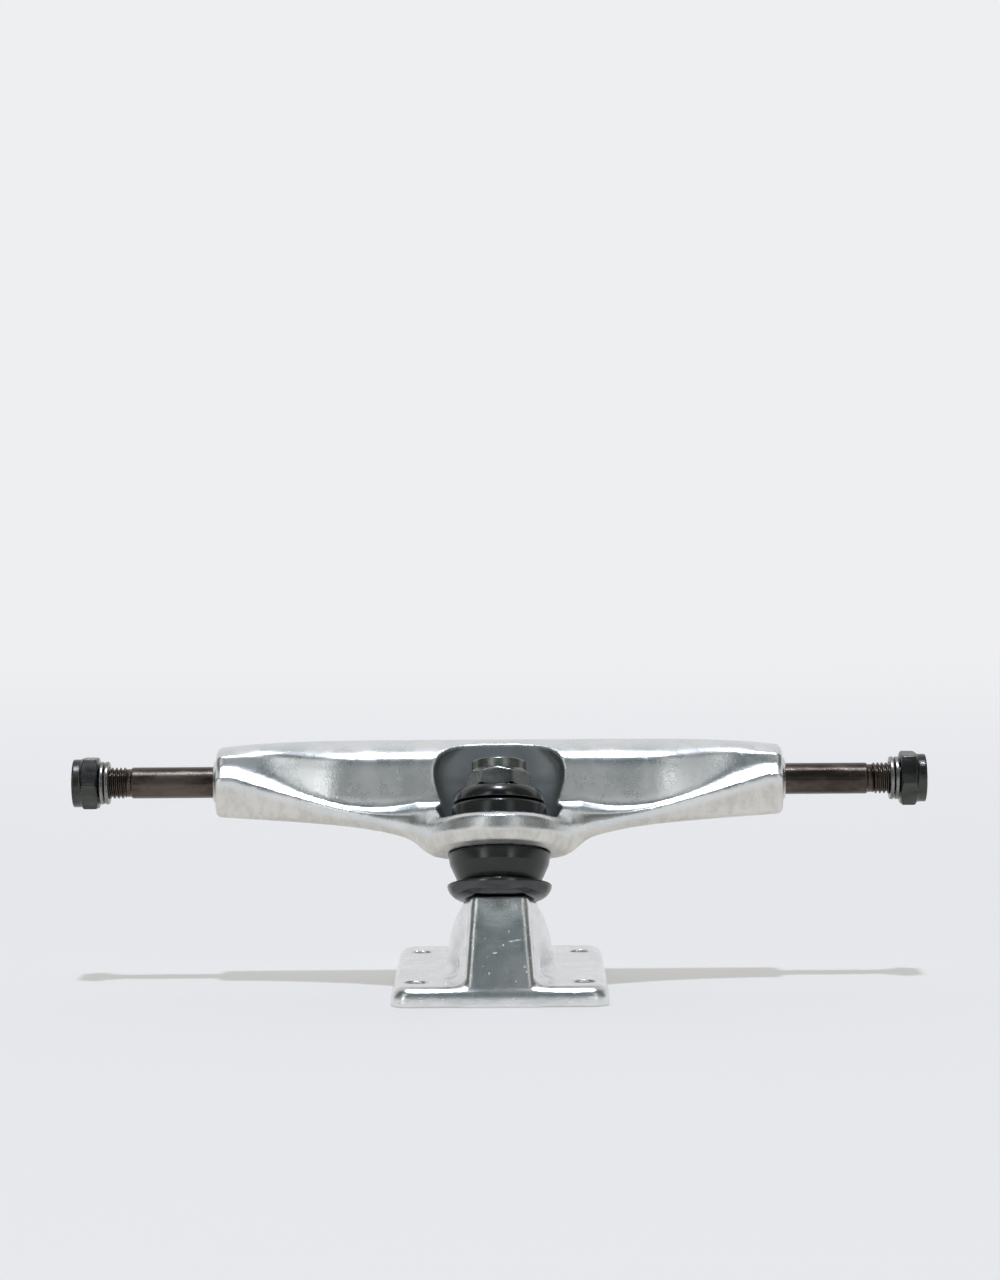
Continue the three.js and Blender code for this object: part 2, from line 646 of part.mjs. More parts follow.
function ringSolid() {
  return solid(lathe([
    [0, ringBottomLevel], [ringBottomRadius - ringEdge, ringBottomLevel],
    [ringBottomRadius, ringBottomLevel + ringEdge / 2],
    [ringRadius, ringTopLevel - ringCrestDrop - ringEdge],
    [ringRadius, ringTopLevel - ringCrestDrop],
    [mix(ringTopRadius, ringRadius, ringCrownShare), ringTopLevel - ringCrestDrop / 3],
    [ringTopRadius, ringTopLevel], [0, ringTopLevel],
  ]), kingpinFrame);
}

// The pivot's round tip and neck, and the arm that runs up the steering axis into the ring.
function pivotArmSolid() {
  const tip = Array.from({ length: arcSteps + 1 }, (_, step) => {
    const angle = (step / arcSteps) * (Math.PI / 2);
    return [pivotTipRadius * Math.sin(angle), -pivotTipRadius * Math.cos(angle)];
  });
  const end = ringCentre.distanceTo(pivotTip) - ringBoreRadius - overrun;
  return solid(lathe([
    ...tip, [pivotNeckRadius, pivotMouth], [pivotArmRadius, pivotMouth + pivotArmFlare],
    [pivotArmRadius, end], [0, end],
  ]), steeringFrame);
}

// The web from the pivot arm up to the beam, filling the corner between them.
function webSolid() {
  const corners = [-1, 1].flatMap((side) =>
    webBeamShares.map(([y, z]) => new THREE.Vector3((side * webWidth) / 2,
      axleSetback + y * hangerRear, axleHeight + z * hangerUnder)));
  return solid(new ConvexGeometry([
    ...discPoints(webFootRadius, pivotMouth + pivotArmFlare, steeringFrame),
    ...discPoints(webFootRadius, pivotMouth + 2 * pivotArmFlare, steeringFrame),
    ...corners,
  ]));
}

// The recess in front of the axle for the nut: an arch over the ring, closed by a round back.
function scoopSolid() {
  const arch = (inset, depth) => {
    const halfWidth = scoopWidth / 2 - inset;
    const shoulder = (axleHeight - seatHeight) / Math.cos(kingpinLean) + scoopShoulder;
    const crown = scoopCrown - inset;
    const points = Array.from({ length: 4 * arcSteps + 1 }, (_, step) => {
      const angle = (step / (4 * arcSteps)) * Math.PI;
      return [halfWidth * Math.cos(angle), shoulder + crown * Math.sin(angle)];
    });
    const low = ringTopLevel - restGap + inset;
    points.push([-halfWidth * scoopFootShare, low], [halfWidth * scoopFootShare, low]);
    return points.map(([x, up]) => new THREE.Vector3(x, depth, up));
  };
  const rings = [arch(0, -2 * ringRadius)];
  for (let step = 0; step <= arcSteps; step++) {
    const angle = (step / arcSteps) * (Math.PI / 2);
    rings.push(arch(scoopFillet * (1 - Math.cos(angle)), scoopDepth - scoopFillet * (1 - Math.sin(angle))));
  }
  return solid(loft(rings), kingpinFrame);
}

function hangerGeometry() {
  const reach = 2 * ringRadius;
  const up = (inner, low, high) => solid(tube(0, inner, low, high), kingpinFrame);
  const cuts = [
    scoopSolid(),
    up(ringBoreRadius, -reach, topSeatLevel + restGap),
    up(bottomBushingNeckRadius + restGap, -overrun, bottomSeatLevel),
    up(topBushingRadius + restGap, topSeatLevel, ringTopLevel + overrun),
    up(bottomWasherRadius + underRingClearance, -reach, ringBottomLevel),
    up(ringRecessRadius, ringTopLevel + restGap, kingpinEndLevel),
    solid(tube(0, axleRadius + pressGap, -hangerLength, hangerLength).rotateY(Math.PI / 2)
      .translate(0, axleSetback, axleHeight)),
  ];
  const bosses = solid(tube(0, hangerEndBossRadius, -hangerLength / 2 - hangerEndBossLength,
    hangerLength / 2 + hangerEndBossLength).rotateY(Math.PI / 2).translate(0, axleSetback, axleHeight));
  const casting = joined(beamSolid(), ringSolid(), pivotArmSolid(), webSolid(), bosses);
  return geometryOf(cutBy(casting, ...cuts));
}

// Assembly
function mesh(name, geometry, material, z = 0) {
  const piece = new THREE.Mesh(geometry, material);
  piece.name = name;
  piece.position.z = z;
  return piece;
}

const truck = new THREE.Group();
truck.add(mesh("baseplate", baseplateGeometry(), castAluminium()));
truck.add(mesh("hanger", hangerGeometry(), castAluminium()));

const kingpinStack = new THREE.Group();
kingpinStack.position.copy(kingpinPlace);
kingpinStack.quaternion.copy(kingpinTurn);
const kingpinBore = kingpinRadius + threadGap;
const kingpinNut = new THREE.Group();
kingpinNut.position.z = kingpinNutLevel;
kingpinNut.rotation.z = kingpinNutTurn;
kingpinNut.add(
  mesh("kingpin_nut", lockNutGeometry(kingpinNutFlats, kingpinNutHexHeight, kingpinNutCollarHeight,
    kingpinNutCollarRadius, kingpinBore), blackSteel()),
  mesh("kingpin_nut_insert", insertGeometry(kingpinBore, kingpinNutHeight), nylon())
);
const topCupWasher = cupWasherGeometry(topWasherFlatRadius, topWasherRadius, topCupDepth).rotateX(Math.PI);
kingpinStack.add(
  mesh("kingpin", kingpinGeometry(), blackSteel()),
  mesh("bottom_cup_washer", cupWasherGeometry(bottomWasherFlatRadius, bottomWasherRadius, bottomCupDepth),
    blackZinc(), bottomWasherLevel),
  mesh("bottom_bushing", bottomBushingGeometry(), urethane(), bottomBushingLevel),
  mesh("top_bushing", topBushingGeometry(), urethane(), topBushingLevel),
  mesh("top_cup_washer", topCupWasher, blackZinc(), topWasherLevel + washerThickness),
  kingpinNut
);
truck.add(kingpinStack);

const pivot = new THREE.Group();
pivot.position.copy(pivotTip);
pivot.quaternion.copy(steeringTurn);
pivot.add(mesh("pivot_cup", pivotCupGeometry(), urethane()));
truck.add(pivot);

const axleLine = new THREE.Group();
axleLine.position.set(0, axleSetback, axleHeight);
const axle = mesh("axle", axleGeometry(), blackSteel());
axle.rotation.y = Math.PI / 2;
axleLine.add(axle);
const axleBore = axleRadius + threadGap;
const axleNutHeight = axleNutHexHeight + axleNutCollarHeight;
const axleNutLevel = axleLength / 2 + axleNutOverhang - axleNutHeight;
["left", "right"].forEach((side, row) => {
  const outwards = new THREE.Group();
  outwards.rotation.y = side === "left" ? -Math.PI / 2 : Math.PI / 2;
  const nut = new THREE.Group();
  nut.position.z = axleNutLevel;
  nut.rotation.z = axleNutTurns[row];
  nut.add(
    mesh(`${side}_axle_nut`, lockNutGeometry(axleNutFlats, axleNutHexHeight, axleNutCollarHeight,
      axleNutCollarRadius, axleBore), blackSteel()),
    mesh(`${side}_axle_nut_insert`, insertGeometry(axleBore, axleNutHeight), nylon())
  );
  outwards.add(nut);
  ["outer", "inner"].forEach((place, count) => {
    const level = axleNutLevel - (count + 1) * (speedWasherThickness + restGap);
    const washer = tube(speedWasherBore, speedWasherRadius, 0, speedWasherThickness, smallSides);
    outwards.add(mesh(`${side}_${place}_washer`, washer, blackSteel(), level));
  });
  axleLine.add(outwards);
});
truck.add(axleLine);

export default truck;
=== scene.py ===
import math

import bmesh
import bpy
import numpy as np
from mathutils import Matrix, Quaternion, Vector


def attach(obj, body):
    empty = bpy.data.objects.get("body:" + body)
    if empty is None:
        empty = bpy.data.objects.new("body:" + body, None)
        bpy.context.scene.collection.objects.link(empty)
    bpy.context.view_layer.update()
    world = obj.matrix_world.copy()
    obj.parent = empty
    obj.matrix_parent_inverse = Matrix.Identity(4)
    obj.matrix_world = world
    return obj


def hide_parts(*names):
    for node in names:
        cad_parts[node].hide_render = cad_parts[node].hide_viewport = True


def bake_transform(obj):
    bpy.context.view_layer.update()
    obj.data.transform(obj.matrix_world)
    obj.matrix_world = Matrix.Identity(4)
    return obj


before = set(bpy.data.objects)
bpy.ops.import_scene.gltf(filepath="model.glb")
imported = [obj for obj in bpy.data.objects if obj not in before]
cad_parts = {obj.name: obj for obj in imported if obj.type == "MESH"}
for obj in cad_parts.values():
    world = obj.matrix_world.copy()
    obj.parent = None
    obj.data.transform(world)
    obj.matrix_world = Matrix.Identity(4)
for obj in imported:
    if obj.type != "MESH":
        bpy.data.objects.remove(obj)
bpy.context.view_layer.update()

# Baseplate. One aluminium casting: a flat plate with four bolt holes, a leaning tower that carries the
# kingpin, and a boss for the pivot cup behind it. It is cast, tumbled smooth and left bare, so its
# edges are round and its faces hold fine dents and scratches.
MM = 0.001
kingpin_lean = math.radians(16.5)
kingpin_seat = (-19.3, 23.8)
pivot_tip = Vector((0, 27.5, 13.2))
steering_axis = Vector((0, -0.84966, 0.52732))
plate_half = (26.75, 38.55)
plate_middle = 1.75
plate_height = 5.0
plate_edge_fillet = 3.1
plate_corner = 4.5
bolt_holes = (20.64, 26.99)
bolt_hole_radius = 2.7
post_front = 8.3
post_back = 5.7
post_half_widths = (8.8, 6.9)
post_rise = 23.2
post_edge = 1.9
post_toe_height = 17.0
post_toe_slope = 0.084
post_toe_bend = 4.0
tower_radius = 13.25
tower_foot_height = 6.5
tower_dome_height = 23.0
tower_foot_setback = 10.5
tower_lean = (8.8, 18.8)
foot_fillets = (3.6, 0.5)
head_room_radius = 9.7
pocket_half_flats = 7.45
pocket_top = -14.3
pin_hole_radius = 4.9
boss_radius = 9.8
boss_foot_radius = 12.3
saddle_middle = 8.5
saddle_half = (4.5, 19.0)
saddle_height = 9.5
cast_edge = 0.35
cast_fillet = 3.0
pivot_cup_radius = 7.5
pivot_cup_bottom = 6.9
pivot_mouth = 7.0


def along_kingpin(y, z):
    """How far a point lies behind the kingpin's axis, and how far up it from the tower's seat."""
    back, rise = y - kingpin_seat[0], z - kingpin_seat[1]
    lean_cos, lean_sin = math.cos(kingpin_lean), math.sin(kingpin_lean)
    return back * lean_cos - rise * lean_sin, back * lean_sin + rise * lean_cos


def along_steering(y, z):
    """How far a point lies off the steering axis within its plane, and how far up it from the pivot's tip."""
    back, rise = y - pivot_tip.y, z - pivot_tip.z
    return (
        back * steering_axis.z - rise * steering_axis.y,
        back * steering_axis.y + rise * steering_axis.z,
    )


def kept_within(shape, limit, edge):
    """The metal that lies inside both shapes, with its new edge rounded."""
    outside = np.hypot(np.maximum(shape + edge, 0), np.maximum(limit + edge, 0))
    return outside + np.minimum(np.maximum(shape + edge, limit + edge), 0) - edge


def run_into(shape, other, fillet):
    """Two shapes cast as one, with a fillet in the corner between them."""
    share = np.clip(0.5 + 0.5 * (other - shape) / fillet, 0, 1)
    return other + (shape - other) * share - fillet * share * (1 - share)


def milled(shape, cutter, edge):
    """The metal that is left after a cut, with its new edge rounded."""
    return kept_within(shape, -cutter, edge)


def round_bar(off_axis, along, radius, low, high, edge=0.0):
    """A bar between two heights on its own axis."""
    half = (high - low) / 2
    return kept_within(off_axis - radius, np.abs(along - (low + high) / 2) - half, edge)


def hexagon(across, back, flats):
    """Distance from a hexagon whose flats face front and back."""
    slant = np.abs(across) * math.cos(math.pi / 6) + np.abs(back) / 2
    return np.maximum(np.abs(back), slant) - flats / 2


def outline_distance(across, up, outline):
    """Distance from an outline, less than zero inside it."""
    nearest = np.full(np.broadcast(across, up).shape, 1e9, np.float32)
    inside = np.zeros(nearest.shape, bool)
    for (ax, ay), (bx, by) in zip(outline, np.roll(outline, -1, axis=0)):
        ex, ey = bx - ax, by - ay
        share = np.clip(((across - ax) * ex + (up - ay) * ey) / (ex * ex + ey * ey + 1e-12), 0, 1)
        nearest = np.minimum(nearest, (across - ax - share * ex) ** 2 + (up - ay - share * ey) ** 2)
        if ay != by:
            between = (ay > up) != (by > up)
            inside ^= between & (across < ax + (up - ay) * ex / ey)
    return np.where(inside, -1, 1) * np.sqrt(nearest)


def in_scene(name, data):
    """A new object that shows a mesh, a lamp or a lens."""
    thing = bpy.data.objects.new(name, data)
    bpy.context.collection.objects.link(thing)
    return thing


def smooth_piece(name, mesh, place):
    """A piece from a mesh in millimetres, set in its place and shaded smooth."""
    mesh.transform(place)
    mesh.shade_smooth()
    return in_scene(name, mesh)


def cast_skin(name, metal, across, back, up, place=Matrix.Scale(MM, 4)):
    """A smooth closed skin round the metal, which is where the values on a grid are below zero."""
    metal = np.asarray(metal, np.float32)
    lines = (across, back, up)
    cells = tuple(n - 1 for n in metal.shape)
    total = np.zeros((3,) + cells, np.float32)
    hits = np.zeros(cells, np.float32)
    crossings = []
    for axis in range(3):
        first, last = [slice(None)] * 3, [slice(None)] * 3
        first[axis], last[axis] = slice(0, -1), slice(1, None)
        a, b = metal[tuple(first)], metal[tuple(last)]
        crossed = (a < 0) != (b < 0)
        crossings.append((crossed, a < 0))
        share = np.where(crossed, a / np.where(crossed, a - b, 1), 0)
        form = [1, 1, 1]
        form[axis] = -1
        reach = lines[axis][:-1].reshape(form) + share * np.diff(lines[axis]).reshape(form)
        one, two = (axis + 1) % 3, (axis + 2) % 3
        for near in (0, 1):
            for far in (0, 1):
                part = [slice(None)] * 3
                part[one] = slice(near, metal.shape[one] - 1 + near)
                part[two] = slice(far, metal.shape[two] - 1 + far)
                here = crossed[tuple(part)]
                hits += here
                total[axis] += np.where(here, reach[tuple(part)], 0)
                for other, shift in ((one, near), (two, far)):
                    form = [1, 1, 1]
                    form[other] = -1
                    total[other] += here * lines[other][shift : shift + cells[other]].reshape(form)
    used = hits > 0
    points = (total[:, used] / hits[used]).T
    number = np.full(cells, -1, np.int64)
    number[used] = np.arange(len(points))
    faces = []
    for axis, (crossed, solid_first) in enumerate(crossings):
        one, two = (axis + 1) % 3, (axis + 2) % 3
        at = np.argwhere(crossed)
        at = at[(at[:, one] > 0) & (at[:, one] < cells[one]) & (at[:, two] > 0) & (at[:, two] < cells[two])]
        ring = []
        for near, far in ((1, 1), (0, 1), (0, 0), (1, 0)):
            cell = at.copy()
            cell[:, one] -= near
            cell[:, two] -= far
            ring.append(number[tuple(cell.T)])
        quads = np.stack(ring, 1)
        turned = ~solid_first[tuple(at.T)]
        quads[turned] = quads[turned][:, ::-1]
        faces.append(quads)
    mesh = bpy.data.meshes.new(name)
    mesh.from_pydata(points.tolist(), [], np.concatenate(faces).tolist())
    return smooth_piece(name, mesh, place)


def hull_planes(points):
    """The outward planes of the tightest skin over a cloud of points."""
    shell = bmesh.new()
    for point in points:
        shell.verts.new(point)
    bmesh.ops.convex_hull(shell, input=shell.verts)
    bmesh.ops.recalc_face_normals(shell, faces=shell.faces)
    planes = set()
    for face in shell.faces:
        planes.add(tuple(round(v, 3) for v in (*face.normal, face.normal.dot(face.verts[0].co))))
    shell.free()
    return sorted(planes)


def disc(radius, height, upright=False):
    """Points round a disc on the steering axis, or flat on the plate under the pivot."""
    turn = Quaternion() if upright else Vector((0, 0, 1)).rotation_difference(steering_axis)
    middle = Vector((0, pivot_tip.y, height)) if upright else pivot_tip + steering_axis * height
    return [
        middle + turn @ Vector((radius * math.cos(a), radius * math.sin(a), 0))
        for a in np.linspace(0, 2 * math.pi, 40, endpoint=False)
    ]


# The casting is worked out as a distance at each point of a grid, below zero in the metal
step = 0.45
x = np.arange(-round(27.9 / step), round(27.9 / step) + 1) * step
y = np.arange(-38.2, 41.8, step) + 0.013
z = np.arange(-1.1, 29.0, step) + 0.007
X, Y, Z = x[:, None, None], y[None, :, None], z[None, None, :]

side = np.abs(X) - plate_half[0] + plate_corner
end = np.abs(Y - plate_middle) - plate_half[1] + plate_corner
plan = np.hypot(np.maximum(side, 0), np.maximum(end, 0)) + np.minimum(np.maximum(side, end), 0) - plate_corner
plate = kept_within(kept_within(plan, Z - plate_height, plate_edge_fillet), -Z, cast_edge)

behind, above = along_kingpin(Y, Z)
climb = np.clip((Z - plate_height) / post_rise, 0, 1)
post_half = post_half_widths[0] + (post_half_widths[1] - post_half_widths[0]) * climb
below_toe = post_toe_height - Z
post_toe = post_toe_slope * (below_toe + np.sqrt(below_toe**2 + post_toe_bend**2))
post = kept_within(np.abs(X) - post_half, -post_front - behind - post_toe, post_edge)
post = kept_within(post, behind - post_back, 1.0)
share = np.clip((Z - tower_foot_height) / tower_dome_height, 0, 0.999)
tower_middle = -(tower_foot_setback + tower_lean[0] * np.clip((Z - plate_height) / tower_lean[1], 0, 1))
tower = np.hypot(X, Y - tower_middle) - tower_radius * np.sqrt(1 - share**2)
tower = kept_within(run_into(post, tower, 2.2), above, 0.55)
head_room = kept_within(np.hypot(X, 1.6 * behind) - head_room_radius, above - pocket_top - 1.7, 2.5)
tower = run_into(tower, head_room, cast_fillet)

boss_planes = hull_planes([
    *disc(boss_radius - 0.8, pivot_mouth),
    *disc(boss_radius, pivot_mouth - 0.8),
    *disc(boss_radius - 0.8, 1.7 - pivot_cup_bottom),
    *disc(pivot_cup_radius, -pivot_cup_bottom - 1.5),
    *disc(boss_foot_radius, plate_height, upright=True),
    *disc(boss_foot_radius, plate_height - 1.2, upright=True),
])
boss = np.full((len(x), len(y), len(z)), 30.0, np.float32)
near = np.ix_(np.flatnonzero(np.abs(x) < 17), np.flatnonzero(y > 6), np.flatnonzero(z > -2))
hull = np.full(boss[near].shape, -1e9, np.float32)
for nx, ny, nz, reach in boss_planes:
    hull = np.maximum(hull, nx * x[near[0]] + ny * y[near[1]] + nz * z[near[2]] - reach)
boss[near] = hull
saddle = np.maximum(np.abs(X) - saddle_half[0], np.abs(Y - saddle_middle) - saddle_half[1])
saddle = np.maximum(saddle, Z - saddle_height)

under_face = np.clip((-behind - 7.0) / 2.5, 0, 1) * np.clip((11.0 - np.abs(X)) / 3.6, 0, 1)
foot_fillet = foot_fillets[0] + (foot_fillets[1] - foot_fillets[0]) * under_face
casting = run_into(run_into(plate, tower, foot_fillet), run_into(boss, saddle, cast_fillet), cast_fillet)
casting = kept_within(kept_within(casting, plate_middle - plate_half[1] - 0.1 - Y, 0.3), -Z, 0.3)
off_pin = np.hypot(X, behind)
casting = milled(casting, round_bar(off_pin, above, pin_hole_radius, -60, 5), cast_edge)
flats = hexagon(X, behind, 2 * pocket_half_flats)
casting = milled(casting, np.maximum(flats, above - pocket_top), cast_edge)
off_steer, up_steer = along_steering(Y, Z)
cup_room = round_bar(np.hypot(X, off_steer), up_steer, pivot_cup_radius + 0.2, -pivot_cup_bottom - 0.2, 30)
casting = milled(casting, cup_room, cast_edge)
holes = np.hypot(np.abs(X) - bolt_holes[0], np.abs(Y) - bolt_holes[1]) - bolt_hole_radius
casting = milled(casting, holes + 0 * Z, 0.45)
baseplate = cast_skin("baseplate_casting", casting, x, y, z)


def node(tree, kind, **settings):
    """A new node with its settings."""
    made = tree.nodes.new(kind)
    for name, value in settings.items():
        setattr(made, name, value)
    return made


def feed(tree, slot, value):
    """Gives a slot its number or colour, or links a socket to it."""
    if isinstance(value, (int, float)):
        slot.default_value = value
    elif isinstance(value, tuple):
        slot.default_value = (*value, 1)
    else:
        tree.links.new(value, slot)


def sum_up(tree, operation, *values, clamp=False):
    """One sum of numbers or sockets."""
    made = node(tree, "ShaderNodeMath", operation=operation, use_clamp=clamp)
    for slot, value in zip(made.inputs, values):
        feed(tree, slot, value)
    return made.outputs[0]


def times(tree, one, other, clamp=False):
    """The product of two numbers or sockets."""
    return sum_up(tree, "MULTIPLY", one, other, clamp=clamp)


def mix(tree, below, over, share):
    """One colour laid over another by its share."""
    made = node(tree, "ShaderNodeMix", data_type="RGBA")
    for label, value in (("A", below), ("B", over), ("Factor", share)):
        feed(tree, made.inputs[label], value)
    return made.outputs["Result"]


def spread(tree, value, low, high, to_low=0.0, to_high=1.0):
    """A socket's range laid over another range, with soft ends."""
    made = node(tree, "ShaderNodeMapRange", interpolation_type="SMOOTHSTEP")
    tree.links.new(value, made.inputs["Value"])
    for name, number in zip(("From Min", "From Max", "To Min", "To Max"), (low, high, to_low, to_high)):
        made.inputs[name].default_value = number
    return made.outputs["Result"]


def noise(tree, where, size, detail=3.0, rough=0.55, stretch=None):
    """Noise with grains of about this size in metres."""
    if stretch:
        turn = node(tree, "ShaderNodeMapping")
        turn.inputs["Rotation"].default_value = stretch[1]
        turn.inputs["Scale"].default_value = stretch[0]
        tree.links.new(where, turn.inputs["Vector"])
        where = turn.outputs["Vector"]
    made = node(tree, "ShaderNodeTexNoise")
    tree.links.new(where, made.inputs["Vector"])
    made.inputs["Scale"].default_value = 1 / size
    made.inputs["Detail"].default_value = detail
    made.inputs["Roughness"].default_value = rough
    return made.outputs["Fac"]


def new_skin(name, **strengths):
    """A group that several materials share, with a strength for each of its marks."""
    tree = bpy.data.node_groups.new(name, "ShaderNodeTree")
    for label, value in strengths.items():
        socket = tree.interface.new_socket(label, in_out="INPUT", socket_type="NodeSocketFloat")
        socket.default_value = value
    for label in ("Height", "Tone", "Wear"):
        tree.interface.new_socket(label, in_out="OUTPUT", socket_type="NodeSocketFloat")
    return tree, node(tree, "NodeGroupInput").outputs, node(tree, "ShaderNodeTexCoord").outputs["Object"]


def give_out(tree, **results):
    """What a skin hands to the materials over it."""
    ends = node(tree, "NodeGroupOutput").inputs
    for label, value in results.items():
        tree.links.new(value, ends[label])


# The skin of tumbled bare metal: soft dents, fine grain, sparse pits and scratches
tumbled, given, place = new_skin("tumbled_metal", Dents=1.0, Grain=1.0, Brushing=0.5, Pits=1.0, Scratches=1.0)
dents = times(tumbled, noise(tumbled, place, 0.0034, 2.0), given["Dents"])
grain = times(tumbled, noise(tumbled, place, 0.00055, 4.0, 0.7), given["Grain"])
spots = node(tumbled, "ShaderNodeTexVoronoi", feature="F1")
spots.inputs["Scale"].default_value = 1 / 0.0019
tumbled.links.new(place, spots.inputs["Vector"])
pit = spread(tumbled, spots.outputs["Distance"], 0.05, 0.2, 1.0, 0.0)
pit = times(tumbled, pit, spread(tumbled, noise(tumbled, place, 0.006), 0.5, 0.64))
pit = times(tumbled, pit, given["Pits"])
lines = noise(tumbled, place, 0.0011, 2.0, 0.5, ((0.14, 1.0, 1.0), (0.3, 0.5, 0.4)))
crossing = noise(tumbled, place, 0.0009, 2.0, 0.5, ((1.0, 0.12, 0.9), (0.5, 0.2, -0.7)))
lines, crossing = spread(tumbled, lines, 0.70, 0.76), spread(tumbled, crossing, 0.70, 0.76)
scratch = sum_up(tumbled, "MAXIMUM", lines, crossing)
scratch = times(tumbled, scratch, given["Scratches"])
brushed = noise(tumbled, place, 0.00042, 3.0, 0.6, ((1.0, 1.0, 0.10), (0.0, 0.0, 0.0)))
brushed = times(tumbled, brushed, given["Brushing"])
height = sum_up(tumbled, "ADD", dents, times(tumbled, grain, 0.34))
height = sum_up(tumbled, "ADD", height, times(tumbled, brushed, 0.16))
height = sum_up(tumbled, "SUBTRACT", height, times(tumbled, pit, 0.22))
height = sum_up(tumbled, "SUBTRACT", height, times(tumbled, scratch, 0.10))
wear = sum_up(tumbled, "MAXIMUM", pit, scratch, clamp=True)
give_out(tumbled, Height=height, Tone=noise(tumbled, place, 0.009, 4.0, 0.6), Wear=wear)


def finish(name, group, settings, dark, light, worn, rough, bump, metallic=1.0):
    """A material over one of the shared skins: colour, gloss and relief follow its tone, wear and height."""
    material = bpy.data.materials.new(name)
    material.use_nodes = True
    tree = material.node_tree
    shader = tree.nodes["Principled BSDF"]
    shader.inputs["Metallic"].default_value = metallic
    skin = node(tree, "ShaderNodeGroup", node_tree=group)
    for label, value in settings.items():
        skin.inputs[label].default_value = value
    base = mix(tree, dark, light, spread(tree, skin.outputs["Tone"], 0.3, 0.7))
    tree.links.new(mix(tree, base, worn, skin.outputs["Wear"]), shader.inputs["Base Color"])
    gloss = spread(tree, skin.outputs["Tone"], 0.3, 0.7, *rough)
    gloss = sum_up(tree, "ADD", gloss, times(tree, skin.outputs["Wear"], 0.12))
    tree.links.new(gloss, shader.inputs["Roughness"])
    relief = node(tree, "ShaderNodeBump")
    relief.inputs["Strength"].default_value = 1.0
    relief.inputs["Distance"].default_value = bump
    tree.links.new(skin.outputs["Height"], relief.inputs["Height"])
    tree.links.new(relief.outputs["Normal"], shader.inputs["Normal"])
    return material


tumbled_aluminium = finish(
    "tumbled_aluminium", tumbled,
    {"Dents": 0.55, "Grain": 1.3, "Brushing": 0.6, "Pits": 1.1, "Scratches": 1.4},
    (0.69, 0.715, 0.72), (0.84, 0.85, 0.85), (0.97, 0.97, 0.96), (0.14, 0.22), 0.00014,
)
baseplate.data.materials.append(tumbled_aluminium)
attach(baseplate, "base")
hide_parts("baseplate")

# Pivot cup. A cup of cast black urethane in which the hanger's round tip turns. It is pressed in the
# baseplate's boss, and only its lip shows round the arm.
pivot_neck = 5.5
pivot_tip_radius = 4.9
cup_lip = 0.5
cup_clearance = 0.3


def soft_corners(corners):
    """A turned profile whose corners are rounded by the third number of each."""
    points = []
    for i, (radius, height, soft) in enumerate(corners):
        here = np.array((radius, height))
        if not soft:
            points.append(here)
            continue
        before = np.array(corners[i - 1][:2]) - here
        after = np.array(corners[(i + 1) % len(corners)][:2]) - here
        length_before, length_after = np.linalg.norm(before), np.linalg.norm(after)
        turn = math.acos(np.clip(before @ after / length_before / length_after, -1, 1))
        reach = min(soft / math.tan(turn / 2), 0.48 * length_before, 0.48 * length_after)
        start = here + before / length_before * reach
        stop = here + after / length_after * reach
        for share in np.linspace(0, 1, 6):
            points.append((1 - share) ** 2 * start + 2 * share * (1 - share) * here + share**2 * stop)
    return np.array(points)


def turned(name, corners, place, sides=96):
    """A piece turned on a lathe from a closed profile of radius and height, in millimetres."""
    profile = soft_corners(corners)
    shell = bmesh.new()
    rings = []
    for angle in np.linspace(0, 2 * math.pi, sides, endpoint=False):
        rings.append([shell.verts.new((r * math.cos(angle), r * math.sin(angle), h)) for r, h in profile])
    for ring, after in zip(rings, rings[1:] + rings[:1]):
        for i in range(len(profile)):
            j = (i + 1) % len(profile)
            shell.faces.new((ring[i], after[i], after[j], ring[j]))
    bmesh.ops.remove_doubles(shell, verts=shell.verts, dist=1e-4)
    bmesh.ops.dissolve_degenerate(shell, edges=shell.edges, dist=1e-4)
    bmesh.ops.recalc_face_normals(shell, faces=shell.faces)
    mesh = bpy.data.meshes.new(name)
    shell.to_mesh(mesh)
    shell.free()
    return smooth_piece(name, mesh, place)


up_steering = (
    Matrix.Scale(MM, 4)
    @ Matrix.Translation(pivot_tip)
    @ Vector((0, 0, 1)).rotation_difference(steering_axis).to_matrix().to_4x4()
)
cup_inside = pivot_tip_radius + cup_clearance
cup_top = pivot_mouth + cup_lip
hollow = [(cup_inside * math.sin(a), -cup_inside * math.cos(a), 0) for a in np.linspace(math.pi / 2, 0, 9)]
pivot_cup = turned("pivot_cup_urethane", [
    (0, -pivot_cup_bottom, 0), (pivot_cup_radius - 1.7, -pivot_cup_bottom, 0.8),
    (pivot_cup_radius, 1.7 - pivot_cup_bottom, 0.5), (pivot_cup_radius, cup_top, 0.4),
    (pivot_neck + cup_clearance, cup_top, 0.3), *hollow], up_steering)

# The skin of cast urethane: a fine even haze, faint flow marks and a little dust
urethane, given, place = new_skin("urethane_skin", Haze=1.0, Dust=1.0)
haze = times(urethane, noise(urethane, place, 0.0003, 3.0, 0.6), given["Haze"])
flow = noise(urethane, place, 0.004, 3.0, 0.5)
dust = spread(urethane, noise(urethane, place, 0.00045, 2.0, 0.6), 0.66, 0.74)
dusty = spread(urethane, noise(urethane, place, 0.005), 0.45, 0.7)
dust = times(urethane, dust, dusty)
dust = times(urethane, dust, given["Dust"], clamp=True)
give_out(urethane, Height=haze, Tone=flow, Wear=dust)
cup_urethane = finish(
    "cup_urethane", urethane, {"Haze": 1.0, "Dust": 0.5},
    (0.012, 0.012, 0.013), (0.020, 0.020, 0.021), (0.09, 0.09, 0.085), (0.42, 0.55), 0.00002, metallic=0.0,
)
pivot_cup.data.materials.append(cup_urethane)
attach(pivot_cup, "base")
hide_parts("pivot_cup")

